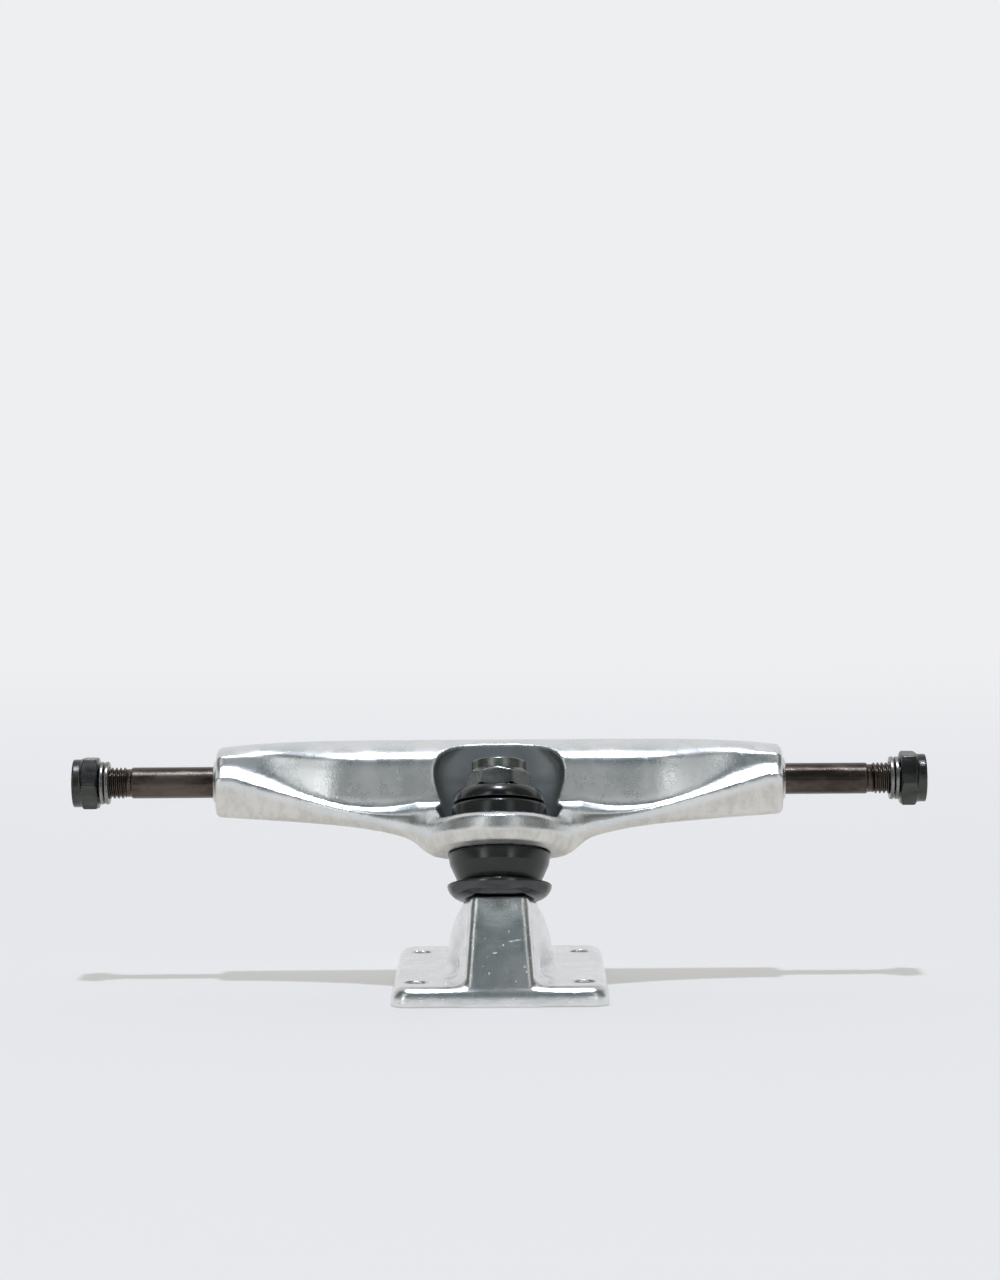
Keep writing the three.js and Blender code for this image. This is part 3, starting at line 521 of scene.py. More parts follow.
# Kingpin. A 3/8 in steel bolt, black from its heat treatment. Its hexagon head sits in the pocket under
# the plate, its shank goes up through the tower and the bushings, and the nut runs on its rolled thread.
kingpin_radius = 4.7
kingpin_head_flats = 14.29
kingpin_head_top = -14.6
kingpin_head_height = 5.0
kingpin_end = 34.8
kingpin_thread_length = 10.0
thread_pitch = 25.4 / 24
thread_depth = 0.55
thread_chamfer = 0.6
kingpin_place = (
    Matrix.Scale(MM, 4)
    @ Matrix.Translation((0, *kingpin_seat))
    @ Matrix.Rotation(-kingpin_lean, 4, "X")
)

# A rolled thread: a bar whose side climbs and falls with height less angle, and runs out at both ends
thread = bpy.data.node_groups.new("rolled_thread", "GeometryNodeTree")
for label, kind, value in (
    ("Radius", "Float", 0.004), ("Depth", "Float", 0.00055), ("Pitch", "Float", 0.00105833),
    ("Length", "Float", 0.011), ("Chamfer", "Float", 0.0006), ("Sides", "Int", 96), ("Rows", "Int", 140),
):
    socket = thread.interface.new_socket(label, in_out="INPUT", socket_type=f"NodeSocket{kind}")
    socket.default_value = value
thread.interface.new_socket("Metal", in_out="INPUT", socket_type="NodeSocketMaterial")
thread.interface.new_socket("Thread", in_out="OUTPUT", socket_type="NodeSocketGeometry")
given = node(thread, "NodeGroupInput").outputs
bar = node(thread, "GeometryNodeMeshCylinder")
for label, source in (
    ("Vertices", "Sides"), ("Side Segments", "Rows"), ("Radius", "Radius"), ("Depth", "Length"),
):
    thread.links.new(given[source], bar.inputs[label])
where = node(thread, "ShaderNodeSeparateXYZ")
thread.links.new(node(thread, "GeometryNodeInputPosition").outputs[0], where.inputs[0])
turn = sum_up(thread, "ARCTAN2", where.outputs["Y"], where.outputs["X"])
turn = sum_up(thread, "DIVIDE", turn, 2 * math.pi)
climb = sum_up(thread, "DIVIDE", where.outputs["Z"], given["Pitch"])
phase = sum_up(thread, "FRACT", sum_up(thread, "SUBTRACT", climb, turn))
flank = sum_up(thread, "ABSOLUTE", sum_up(thread, "SUBTRACT", phase, 0.5))
groove = spread(thread, flank, 0.07, 0.43, 1.0, 0.0)
cut = times(thread, groove, given["Depth"])
half_length = times(thread, given["Length"], 0.5)
from_end = sum_up(thread, "SUBTRACT", half_length, sum_up(thread, "ABSOLUTE", where.outputs["Z"]))
bevel = sum_up(thread, "SUBTRACT", given["Chamfer"], from_end)
cut = sum_up(thread, "MAXIMUM", cut, sum_up(thread, "MAXIMUM", bevel, 0.0))
flat = node(thread, "ShaderNodeCombineXYZ")
outwards = node(thread, "ShaderNodeVectorMath", operation="NORMALIZE")
pull = node(thread, "ShaderNodeVectorMath", operation="SCALE")
moved = node(thread, "GeometryNodeSetPosition")
real = node(thread, "GeometryNodeRealizeInstances")
painted = node(thread, "GeometryNodeSetMaterial")
for source, slot in (
    (where.outputs["X"], flat.inputs["X"]),
    (where.outputs["Y"], flat.inputs["Y"]),
    (flat.outputs[0], outwards.inputs[0]),
    (outwards.outputs[0], pull.inputs[0]),
    (times(thread, cut, -1.0), pull.inputs["Scale"]),
    (bar.outputs["Mesh"], moved.inputs["Geometry"]),
    (pull.outputs[0], moved.inputs["Offset"]),
    (moved.outputs[0], real.inputs[0]),
    (real.outputs[0], painted.inputs["Geometry"]),
    (given["Metal"], painted.inputs["Material"]),
    (painted.outputs[0], node(thread, "NodeGroupOutput").inputs[0]),
):
    thread.links.new(source, slot)


def threaded(name, radius, length, metal, place):
    """A length of thread, made real and set in its place."""
    piece = in_scene(name, bpy.data.meshes.new(name))
    rolled = piece.modifiers.new("thread", "NODES")
    rolled.node_group = thread
    values = {
        "Radius": radius * MM, "Length": length * MM, "Depth": thread_depth * MM, "Pitch": thread_pitch * MM,
        "Chamfer": thread_chamfer * MM, "Sides": 72, "Rows": round(length / thread_pitch * 11),
        "Metal": metal,
    }
    for socket in thread.interface.items_tree:
        if socket.name in values:
            rolled[socket.identifier] = values[socket.name]
    made = bpy.data.meshes.new_from_object(piece.evaluated_get(bpy.context.evaluated_depsgraph_get()))
    piece.modifiers.remove(rolled)
    piece.data = made
    made.transform(Matrix.Scale(MM, 4).inverted())
    made.transform(place)
    made.shade_smooth()
    return piece


# The skin of oiled black steel: brown and blue patches of oxide, drawn lines along it and bright rubs
oxide, given, place = new_skin("black_oxide", Lines=1.0, Rubs=1.0, Grain=1.0)
drawn = noise(oxide, place, 0.0006, 3.0, 0.6, ((0.05, 1.0, 1.0), (0.0, 0.0, 0.0)))
drawn = times(oxide, drawn, given["Lines"])
fine = times(oxide, noise(oxide, place, 0.00035, 4.0, 0.7), given["Grain"])
patch = noise(oxide, place, 0.0045, 4.0, 0.6, ((0.4, 1.0, 1.0), (0.0, 0.0, 0.0)))
rub = spread(oxide, noise(oxide, place, 0.0013, 4.0, 0.65), 0.64, 0.76)
rub = times(oxide, rub, spread(oxide, noise(oxide, place, 0.007), 0.48, 0.66))
rub = times(oxide, rub, given["Rubs"], clamp=True)
give_out(oxide, Height=sum_up(oxide, "ADD", drawn, fine), Tone=patch, Wear=rub)
bolt_steel = finish(
    "bolt_steel", oxide, {"Lines": 0.3, "Rubs": 1.0, "Grain": 1.0},
    (0.085, 0.080, 0.074), (0.19, 0.18, 0.165), (0.45, 0.44, 0.42), (0.26, 0.40), 0.00002,
)

step = 0.25
x = np.arange(-36, 37) * step
z = np.arange(kingpin_head_top - kingpin_head_height - 0.6, kingpin_head_top + 3.0, step)
X, Y, Z = x[:, None, None], x[None, :, None], z[None, None, :]
off = np.hypot(X, Y)
from_middle = np.abs(Z - kingpin_head_top + kingpin_head_height / 2)
head = kept_within(hexagon(X, Y, kingpin_head_flats), from_middle - kingpin_head_height / 2, 0.25)
head_cone = (off - kingpin_head_flats / 2 - 0.2) * 0.5 + (kingpin_head_top - kingpin_head_height - Z) * 0.866
neck = round_bar(off, Z, kingpin_radius, kingpin_head_top - 1, kingpin_head_top + 2, 0.2)
head = run_into(kept_within(head, head_cone, 0.2), neck, 0.3)
kingpin_head = cast_skin("kingpin_head", head, x, x, z, kingpin_place)
shank_low, shank_top = kingpin_head_top + 0.5, kingpin_end - kingpin_thread_length
kingpin_shank = turned("kingpin_shank", [
    (0, shank_low, 0), (kingpin_radius, shank_low, 0), (kingpin_radius, shank_top, 0),
    (kingpin_radius - thread_depth, shank_top + thread_depth, 0.2), (0, shank_top + thread_depth, 0),
], kingpin_place, 64)
thread_place = kingpin_place @ Matrix.Translation((0, 0, kingpin_end - kingpin_thread_length / 2))
kingpin_thread = threaded("kingpin_thread", kingpin_radius, kingpin_thread_length, bolt_steel, thread_place)
for piece in (kingpin_head, kingpin_shank, kingpin_thread):
    if not piece.data.materials:
        piece.data.materials.append(bolt_steel)
    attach(piece, "base")
    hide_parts("kingpin")

# Cup washers. Two dished steel washers, pressed from sheet and plated glossy black, hold the bushings.
# The wider one lies on the tower's seat with its rim up, and the other caps the stack with its rim down.
washer_sheet = 1.5
bottom_washer = {"flat": 8.6, "rim": 13.0, "cup": 2.2, "level": 0.3}
top_washer = {"flat": 9.1, "rim": 11.35, "cup": 1.9, "level": 26.6}
black_plating = finish(
    "black_plating", oxide, {"Lines": 0.0, "Rubs": 0.35, "Grain": 0.5},
    (0.055, 0.057, 0.056), (0.095, 0.097, 0.098), (0.22, 0.22, 0.22), (0.16, 0.26), 0.000012,
)


def cup_washer(name, flat, rim, cup, level, body, cad, flip=False):
    """A washer with a flat middle and a rim that curves up, or down where it is flipped."""
    wall, flare, rise = washer_sheet, rim - flat, cup + washer_sheet
    quarter = np.linspace(0, math.pi / 2, 13)
    outside = [(flat + flare * math.sin(a), rise * (1 - math.cos(a)), 0) for a in quarter]
    inside = [
        (flat + (flare - wall) * math.sin(a), wall + (rise - wall) * (1 - math.cos(a)), 0)
        for a in quarter[::-1]
    ]
    rounded_rim = [(outside[-1][0], outside[-1][1], 0.6), (inside[0][0], inside[0][1], 0.6)]
    place = kingpin_place @ Matrix.Translation((0, 0, level + (wall if flip else 0)))
    if flip:
        place = place @ Matrix.Rotation(math.pi, 4, "X")
    bore = kingpin_radius + 0.3
    profile = [(bore, 0, 0.2), *outside[:-1], *rounded_rim, *inside[1:], (bore, wall, 0.2)]
    piece = turned(name, profile, place, 128)
    piece.data.materials.append(black_plating)
    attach(piece, body)
    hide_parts(cad)


cup_washer("bottom_washer", **bottom_washer, body="base", cad="bottom_cup_washer")
cup_washer("top_washer", **top_washer, body="top_washer", cad="top_cup_washer", flip=True)

# Bushings. Two rings of cast black urethane squeezed round the kingpin, above and below the hanger's
# ring. They are the truck's springs: in the truck each is held at one end and follows the hanger at the
# other, but here both stay as they are at rest.
bushing_bore = 5.05
bottom_bushing = turned("bottom_bushing_urethane", [
    (bushing_bore, 2.1, 0.2), (9.3, 2.1, 0.4), (10.6, 5.4, 2.0), (12.25, 9.0, 0.5), (12.8, 11.8, 0.7),
    (11.85, 11.8, 0.15), (11.85, 13.9, 0.3), (bushing_bore, 13.9, 0.2),
], kingpin_place, 128)
top_bushing = turned("top_bushing_urethane", [
    (bushing_bore, 18.6, 0.2), (11.3, 18.6, 0.4), (11.8, 19.6, 0.6), (11.8, 24.1, 1.0), (9.3, 24.1, 0.3),
    (8.0, 26.3, 0.4), (bushing_bore, 26.3, 0.2),
], kingpin_place, 128)
bushing_urethane = finish(
    "bushing_urethane", urethane, {"Haze": 1.0, "Dust": 0.35},
    (0.010, 0.011, 0.011), (0.016, 0.017, 0.016), (0.07, 0.07, 0.068), (0.20, 0.26), 0.000005, metallic=0.0,
)
for piece, cad, held, free in (
    (bottom_bushing, "bottom_bushing", 2.6, 12.0), (top_bushing, "top_bushing", 25.8, 19.0),
):
    piece.data.materials.append(bushing_urethane)
    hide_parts(cad)
    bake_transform(piece)

# Hanger. One aluminium casting: a beam round the axle that sweeps out to a ring between the bushings, with
# a recess for the nut and an arm that ends in the pivot's tip. Its upper face is polished, and the band
# under its parting crest is left as cast.
axle_place = (9.5, 51.3)
axle_radius = 3.97
hanger_half = 72.2
hanger_front = 8.5
hanger_rear = 8.8
hanger_under = 8.6
hanger_boss_radius = 5.3
hanger_boss_half = 73.0
ring_levels = (12.1, 20.5)
ring_bore = 7.4
bushing_seat_radius = 12.15
arm_radius = 8.4
web_half = 6.5
scoop_edge = 3.2
ring_fillet, web_fillet, arm_fillet = 9.0, 3.5, 4.5


def crest_line(x):
    """The parting crest: how far it stands behind the axle and above it, and how tall its rounded top is."""
    reach = np.minimum(1, (hanger_half - np.abs(x)) / (hanger_half - 18))
    fall = 1 - (1 - np.clip((reach - 0.08) / 0.92, 0, 1)) ** 1.5
    rounding = 0.4 + 3.1 * np.clip((reach - 0.6) / 0.35, 0, 1) ** 2
    return -(hanger_front + 14.5 * np.maximum(reach, 0) ** 2.5), 1.6 - 10.7 * fall, rounding


def hanger_section(x):
    """The outline of the cast beam at a place along the axle, as offsets behind and above the axle."""
    reach = min(1, (hanger_half - abs(x)) / (hanger_half - 18))
    steep = min(1, max(0, (reach - 0.2) / 0.42))
    steep = steep * steep * (3 - 2 * steep)
    face = 5.6 + 4.5 * steep
    top = 10 - 1.7 * (1 - reach) ** 4
    crest_back, crest_up, rounding = crest_line(np.float64(x))
    bottom = -(hanger_under + 3.2 * reach + 2.6 * reach**6)
    band = crest_up - bottom
    ledge_up = crest_up + rounding
    ledge = -face - crest_back - 0.8 * rounding
    knots = [
        (y * hanger_rear, z * (top if z > 0 else hanger_under))
        for y, z in ((0.62, -0.86), (0.97, -0.42), (1, 0.15), (0.9, 0.68), (0.52, 1))
    ]
    knots += [(-0.28 * face, 0.97 * top), (-0.62 * face, 0.86 * top)]
    ramp = np.array([
        (0.78, 0, 0.76), (0.88, 0, 0.60), (0.97, 0, 0.43), (1, 0.20, 0.28), (1, 0.50, 0.16), (1, 0.86, 0.04),
    ])
    wall = np.array([
        (0.86, 0, 0.79), (0.93, 0, 0.68), (1, 0, 0.20), (1, 0.03, 0.06), (1, 0.24, 0.018), (1, 0.66, 0.012),
    ])
    for y, out, z in ramp + (wall - ramp) * steep:
        knots.append((-y * face - out * ledge, ledge_up + (top - ledge_up) * z))
    knots += [
        (crest_back + 0.25 * rounding, crest_up + 0.7 * rounding),
        (crest_back + 0.01 * band, crest_up),
        (crest_back + 0.03 * band, crest_up - 0.17 * band),
    ]
    for row, (end, root) in enumerate(((-0.62, 0.3), (-0.3, 0.75))):
        foot = end * hanger_front * (1 - reach) + (crest_back + root * band) * reach
        knots.append((foot, bottom + (1 - row) * 0.06 * band))
    knots.append((-0.2 * hanger_front, -hanger_under + (bottom + hanger_under) * 0.35 * reach))
    return np.array(knots)


def smooth_loop(knots, steps):
    """A closed curve through all knots, as even as their spacing allows."""
    points = []
    count = len(knots)
    for i in range(count):
        p = [knots[(i + j - 1) % count] for j in range(4)]
        t = [0.0]
        for a, b in zip(p, p[1:]):
            t.append(t[-1] + max(math.sqrt(np.linalg.norm(b - a)), 1e-6))
        for share in np.arange(steps) / steps:
            at = t[1] + (t[2] - t[1]) * share
            line, bow = [], []
            for j in range(3):
                line.append(((t[j + 1] - at) * p[j] + (at - t[j]) * p[j + 1]) / (t[j + 1] - t[j]))
            for j in range(2):
                bow.append(((t[j + 2] - at) * line[j] + (at - t[j]) * line[j + 1]) / (t[j + 2] - t[j]))
            points.append(((t[2] - at) * bow[0] + (at - t[1]) * bow[1]) / (t[2] - t[1]))
    return np.array(points)


step = 0.5
x = np.concatenate([np.arange(-0.5, 26, step), np.arange(26, 66, 2.2 * step), np.arange(66, 75, step)])
y = np.arange(-31.6, 33.2, step) + 0.011
z = np.arange(7.4, 62.6, step) + 0.017
X, Y, Z = x[:, None, None], y[None, :, None], z[None, None, :]
back, rise = Y - axle_place[0], Z - axle_place[1]
beam = np.empty((len(x), len(y), len(z)), np.float32)
for i, place in enumerate(x):
    beam[i] = outline_distance(back[0], rise[0], smooth_loop(hanger_section(min(abs(place), hanger_half)), 6))
beam = kept_within(beam, np.abs(X) - hanger_half, 1.5)
round_axle = np.hypot(back, rise)
end_boss = round_bar(round_axle, X, hanger_boss_radius, -hanger_boss_half, hanger_boss_half, 0.35)
beam = run_into(beam, end_boss, 0.6)

behind, above = along_kingpin(Y, Z)
off_pin = np.hypot(X, behind)
ring_low, ring_high = ring_levels
ring_outline = soft_corners([
    (-8, ring_low, 0), (12.8, ring_low, 0.5), (13.6, ring_low + 0.4, 0.5), (15.2, 13.0, 1.0), (17, 15.5, 1.0),
    (16.95, 18.7, 0.8), (16, 19.55, 0.9), (13.9, ring_high, 0.6), (-8, ring_high, 0),
])
ring = outline_distance(off_pin, above, ring_outline)
off_steer, up_steer = along_steering(Y, Z)
round_tip = [
    (pivot_tip_radius * math.sin(a), -pivot_tip_radius * math.cos(a), 0)
    for a in np.linspace(0, math.pi / 2, 12)
]
arm_outline = soft_corners([
    (-6, -pivot_tip_radius, 0), *round_tip, (pivot_neck, pivot_mouth, 2.0), (arm_radius, 16, 6.0),
    (arm_radius, 40.2, 0), (-6, 40.2, 0),
])
arm = outline_distance(np.hypot(X, off_steer), up_steer, arm_outline)
web_outline = soft_corners([
    (10.4, 16.0, 2.0), (17.4, 27.2, 9.0), (14.8, 53.0, 1.0), (3.3, 47.0, 1.0), (2.8, 20.8, 4.0),
])
web = kept_within(outline_distance(Y[0], Z[0], web_outline)[None], np.abs(X) - web_half, 2.5)
hanger = run_into(run_into(beam, ring, ring_fillet), run_into(arm, web, web_fillet), arm_fillet)

arch = [(17.7 * math.cos(a), 33.7 + 11.8 * math.sin(a)) for a in np.linspace(0, math.pi, 40)]
arch = np.array(arch + [(-16.6, 25.5), (-14.2, ring_high - 0.3), (14.2, ring_high - 0.3), (16.6, 25.5)])


def in_bowl(arch_distance, across, behind, above):
    """Distance from the nut's recess: an arch from the front, hollowed to a bowl that widens upwards."""
    widening = np.clip((above - 21) / 11, 0, 1)
    width, depth, power = 18.2 + 1.9 * widening, 13.5 + 0.5 * widening, 2.8 + 0.4 * widening
    bowl = (np.abs(across) / width) ** power + (np.maximum(behind, 0) / depth) ** power
    return kept_within(arch_distance, (bowl ** (1 / power) - 1) * depth, scoop_edge)


scoop_face = np.empty_like(hanger)
for i, place in enumerate(x):
    scoop_face[i] = outline_distance(place, above[0], arch)
hanger = milled(hanger, in_bowl(scoop_face, X, behind, above), cast_edge)
for radius, low, high, edge in (
    (ring_bore, -60, 18.6, 0.3),
    (bushing_seat_radius, -4, 14.2, 0.2),
    (bushing_seat_radius - 0.05, 18.3, 23, 0.2),
    (16.4, -60, ring_low, 0.3),
    (13.1, ring_high + 0.3, kingpin_end, 0.3),
):
    hanger = milled(hanger, round_bar(off_pin, above, radius, low, high), edge)
hanger = milled(hanger, round_axle - axle_radius - 0.2 + 0 * X, 0.25)
right_half = x >= 0
whole = np.concatenate([hanger[right_half][:0:-1], hanger[right_half]])
x_whole = np.concatenate([-x[right_half][:0:-1], x[right_half]])
hanger_casting = cast_skin("hanger_casting", whole, x_whole, y, z)

# Each point of the casting knows whether it lies above the crest, on the polished face, or under it
places = np.empty(len(hanger_casting.data.vertices) * 3, np.float32)
hanger_casting.data.vertices.foreach_get("co", places)
across, deep, high = (places.reshape(-1, 3) / MM).T
under_crest = crest_line(across)[1] + axle_place[1] - high
pin_behind, pin_above = along_kingpin(deep, high)
near_ring = np.clip((18.5 - np.hypot(across, pin_behind)) / 1.5, 0, 1)
under = under_crest * (1 - near_ring) + (17.7 - pin_above) * near_ring
as_cast = hanger_casting.data.attributes.new("as_cast", "FLOAT", "POINT")
as_cast.data.foreach_set("value", np.clip((under - 1.5) * 0.8, 0, 1).astype(np.float32))
# Points in the nut's recess get a share that makes the metal rougher, as sand, and darker, as painted shade
off_bowl = in_bowl(outline_distance(across, pin_above, arch), across, pin_behind, pin_above)
in_scoop = np.clip((0.35 - off_bowl) / 0.3, 0, 1) * np.clip((pin_above - ring_high + 0.2) / 0.8, 0, 1)
recess_sand_and_shade = hanger_casting.data.attributes.new("recess_sand_and_shade", "FLOAT", "POINT")
recess_sand_and_shade.data.foreach_set("value", in_scoop.astype(np.float32))

# The hanger's metal: polished above the crest, dull and mottled under it, and in the nut's recess rougher
# with sand and darker with painted shade
polished_aluminium = finish(
    "polished_aluminium", tumbled,
    {"Dents": 0.25, "Grain": 0.9, "Brushing": 0.9, "Pits": 0.25, "Scratches": 0.7},
    (0.66, 0.69, 0.69), (0.77, 0.78, 0.775), (0.88, 0.88, 0.87), (0.23, 0.33), 0.00014,
)
tree = polished_aluminium.node_tree
shader = tree.nodes["Principled BSDF"]
place = node(tree, "ShaderNodeTexCoord").outputs["Object"]
band = node(tree, "ShaderNodeAttribute", attribute_name="as_cast").outputs["Fac"]
recess_shade_share = node(tree, "ShaderNodeAttribute", attribute_name="recess_sand_and_shade").outputs["Fac"]
mottling = spread(tree, noise(tree, place, 0.0026, 5.0, 0.65, ((1.0, 1.0, 0.4), (0.0, 0.0, 0.0))), 0.32, 0.62)
mottled = mix(tree, (0.61, 0.595, 0.555), (0.73, 0.715, 0.67), mottling)
dull = mix(tree, shader.inputs["Base Color"].links[0].from_socket, mottled, band)
# In the recess the colour is painted darker: painted shade
tree.links.new(mix(tree, dull, (0.25, 0.27, 0.275), recess_shade_share), shader.inputs["Base Color"])
rougher = shader.inputs["Roughness"].links[0].from_socket
rougher = sum_up(tree, "ADD", rougher, times(tree, band, 0.16))
rougher = sum_up(tree, "ADD", rougher, times(tree, recess_shade_share, 0.14))
tree.links.new(rougher, shader.inputs["Roughness"])
hanger_casting.data.materials.append(polished_aluminium)
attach(hanger_casting, "hanger")
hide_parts("hanger")

# Kingpin nut. A black steel lock nut with chamfered corners that holds the stack together. A ring of nylon
# is pressed in its collar, under a rolled lip, and grips the thread.
nut_lip = 0.4
nut_chamfer = math.radians(28)
insert_height = 1.7
insert_width = 1.4
kingpin_nut_place = (
    kingpin_place @ Matrix.Translation((0, 0, 28.4)) @ Matrix.Rotation(math.radians(-5.8), 4, "Z")
)


def lock_nut(name, flats, hex_height, collar, bore, place, metal, body, cad, slot_name):
    """A lock nut that stands on height zero, and the nylon ring in its collar."""
    collar_height, collar_radius = collar
    step = 0.2
    height = hex_height + collar_height
    side = flats / math.sqrt(3) + 0.6
    x = np.arange(-side, side + step, step) + 0.013
    z = np.arange(-0.5, height + 0.6, step) + 0.011
    X, Y, Z = x[:, None, None], x[None, :, None], z[None, None, :]
    off = np.hypot(X, Y)
    hex_body = kept_within(hexagon(X, Y, flats), np.abs(Z - hex_height / 2) - hex_height / 2, 0.12)
    tilt_cos, tilt_sin = math.cos(nut_chamfer), math.sin(nut_chamfer)
    for up in (Z - hex_height, -Z):
        hex_body = kept_within(hex_body, (off - flats / 2 + 0.1) * tilt_sin + up * tilt_cos, 0.15)
    nut = run_into(hex_body, round_bar(off, Z, collar_radius, hex_height - 1, height, 0.3), 0.5)
    nut = milled(nut, off - bore + 0 * Z, 0.3)
    groove = bore + insert_width + 0.1
    nut = milled(nut, round_bar(off, Z, groove - nut_lip, height - 1, height + 2), 0.2)
    nut = milled(nut, round_bar(off, Z, groove, height - nut_lip - insert_height, height - nut_lip), 0.1)
    shell = cast_skin(name, nut, x, x, z, place)
    high = height - nut_lip - 0.1
    low, outer = high - insert_height + 0.2, bore + insert_width
    ring = [(bore, low, 0.2), (outer, low, 0.1), (outer, high, 0.15), (bore, high, 0.5)]
    ring = turned(f"{name}_insert", ring, place, 72)
    for piece, material, node_name, finish_slot in (
        (shell, metal, cad, slot_name), (ring, insert_nylon, f"{cad}_insert", "insert_nylon")
    ):
        piece.data.materials.append(material)
        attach(piece, body)
        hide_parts(node_name)


nut_steel = finish(
    "nut_steel", oxide, {"Lines": 0.6, "Rubs": 1.4, "Grain": 1.6},
    (0.14, 0.148, 0.142), (0.26, 0.27, 0.26), (0.50, 0.50, 0.48), (0.16, 0.29), 0.00002,
)
insert_nylon = finish(
    "insert_nylon", urethane, {"Haze": 0.6, "Dust": 0.4},
    (0.016, 0.016, 0.018), (0.028, 0.028, 0.030), (0.10, 0.10, 0.10), (0.35, 0.50), 0.000015, metallic=0.0,
)
lock_nut("kingpin_lock_nut", 13.9, 4.2, (2.7, 6.8), kingpin_radius + 0.1, kingpin_nut_place, nut_steel,
         "kingpin_nut", "kingpin_nut", "kingpin_steel")

# Axle. A 5/16 in steel bar cast in the hanger, brown-black from heat and oil, with a shallow neck and a
# rolled thread at each end for the wheel's nut.
axle_half = 107.95
axle_thread_length = 13.0
axle_neck_length = 0.9
axle_neck_depth = 0.4
axle_line = Matrix.Scale(MM, 4) @ Matrix.Translation((0, *axle_place)) @ Matrix.Rotation(math.pi / 2, 4, "Y")
neck_radius = axle_radius - axle_neck_depth
neck_end = axle_half - axle_thread_length
bar_end = neck_end - axle_neck_length
axle_end = [
    (axle_radius, bar_end - axle_neck_depth, 0.5), (neck_radius, bar_end, 0.3),
    (neck_radius, neck_end + 0.6, 0), (0, neck_end + 0.6, 0),
]
other_end = [(radius, -along, soft) for radius, along, soft in reversed(axle_end)]
axle_bar = turned("axle_bar", other_end + axle_end, axle_line, 96)
axle_steel = finish(
    "axle_steel", oxide, {"Lines": 1.0, "Rubs": 0.6, "Grain": 0.8},
    (0.050, 0.040, 0.034), (0.120, 0.100, 0.085), (0.34, 0.32, 0.29), (0.20, 0.34), 0.00002,
)
axle_bar.data.materials.append(axle_steel)
axle_pieces = [axle_bar]
for side, facing in (("left", -1), ("right", 1)):
    place = axle_line @ Matrix.Translation((0, 0, facing * (axle_half - axle_thread_length / 2)))
    axle_pieces.append(threaded(f"{side}_axle_thread", axle_radius, axle_thread_length, axle_steel, place))
for piece in axle_pieces:
    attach(piece, "hanger")
    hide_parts("axle")

# Speed washers and axle nuts. Two thin plated steel washers and a black lock nut with a nylon ring stand at
# each end of the axle. They run on its thread and hold the wheel, which isn't part of the truck.
axle_nut_hex = 4.3
axle_nut_collar = (2.3, 6.1)
nut_level = axle_half + 0.85 - axle_nut_hex - axle_nut_collar[0]
washer_spacing = 1.3
washer_profile = ((4.2, 0, 0.12), (5.45, 0, 0.3), (5.45, 1.0, 0.3), (4.2, 1.0, 0.12))
washer_plating = finish(
    "washer_plating", oxide, {"Lines": 0.0, "Rubs": 1.0, "Grain": 0.8},
    (0.16, 0.16, 0.155), (0.30, 0.30, 0.29), (0.55, 0.55, 0.53), (0.22, 0.34), 0.000015,
)
nut_black = finish(
    "nut_black", oxide, {"Lines": 0.0, "Rubs": 0.8, "Grain": 1.2},
    (0.045, 0.048, 0.044), (0.085, 0.088, 0.082), (0.36, 0.36, 0.34), (0.20, 0.36), 0.00002,
)
axle_middle = Matrix.Scale(MM, 4) @ Matrix.Translation((0, *axle_place))
for side, facing, turn in (("left", -1, 30), ("right", 1, 36)):
    outwards = axle_middle @ Matrix.Rotation(facing * math.pi / 2, 4, "Y")
    nut_place = outwards @ Matrix.Translation((0, 0, nut_level)) @ Matrix.Rotation(math.radians(turn), 4, "Z")
    lock_nut(f"{side}_lock_nut", 12.7, axle_nut_hex, axle_nut_collar, axle_radius + 0.1, nut_place, nut_black,
             f"{side}_nut", f"{side}_axle_nut", "nut_steel")
    for place_name, step_in in (("outer", 1), ("inner", 2)):
        washer_place = outwards @ Matrix.Translation((0, 0, nut_level - step_in * washer_spacing))
        washer = turned(f"{side}_{place_name}_speed_washer", washer_profile, washer_place, 72)
        washer.data.materials.append(washer_plating)
        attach(washer, f"{side}_washers")
        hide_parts(f"{side}_{place_name}_washer")

# Floor. A plain pale sheet of paper that the truck stands on. Part of its brightness is its own, so that it
# stays even. It fades to the backdrop behind the truck. In reflections only, it glows a warmer tint, a
# painted reflection, and its part near the camera is painted dark, a painted reflection of a dark room.
backdrop_colour = (0.855, 0.863, 0.879)
painted_dark_reflection = (0.12, 0.12, 0.12)
floor_mesh = bpy.data.meshes.new("floor")
floor_mesh.from_pydata([(-10, -10, 0), (10, -10, 0), (10, 10, 0), (-10, 10, 0)], [], [(0, 1, 2, 3)])
floor = in_scene("floor", floor_mesh)
floor_paper = bpy.data.materials.new("floor_paper")
floor_paper.use_nodes = True
tree = floor_paper.node_tree
paper_shader = tree.nodes["Principled BSDF"]
paper_shader.inputs["Base Color"].default_value = (0.785, 0.785, 0.785, 1)
paper_shader.inputs["Roughness"].default_value = 0.9
paper_shader.inputs["Specular IOR Level"].default_value = 0.0
mirrored = node(tree, "ShaderNodeLightPath").outputs["Is Glossy Ray"]
where = node(tree, "ShaderNodeSeparateXYZ")
tree.links.new(node(tree, "ShaderNodeTexCoord").outputs["Object"], where.inputs[0])
# In reflections the paper glows warmer: a painted reflection tint
paper_glow = mix(tree, (0.765, 0.755, 0.725), (0.86, 0.83, 0.77), mirrored)
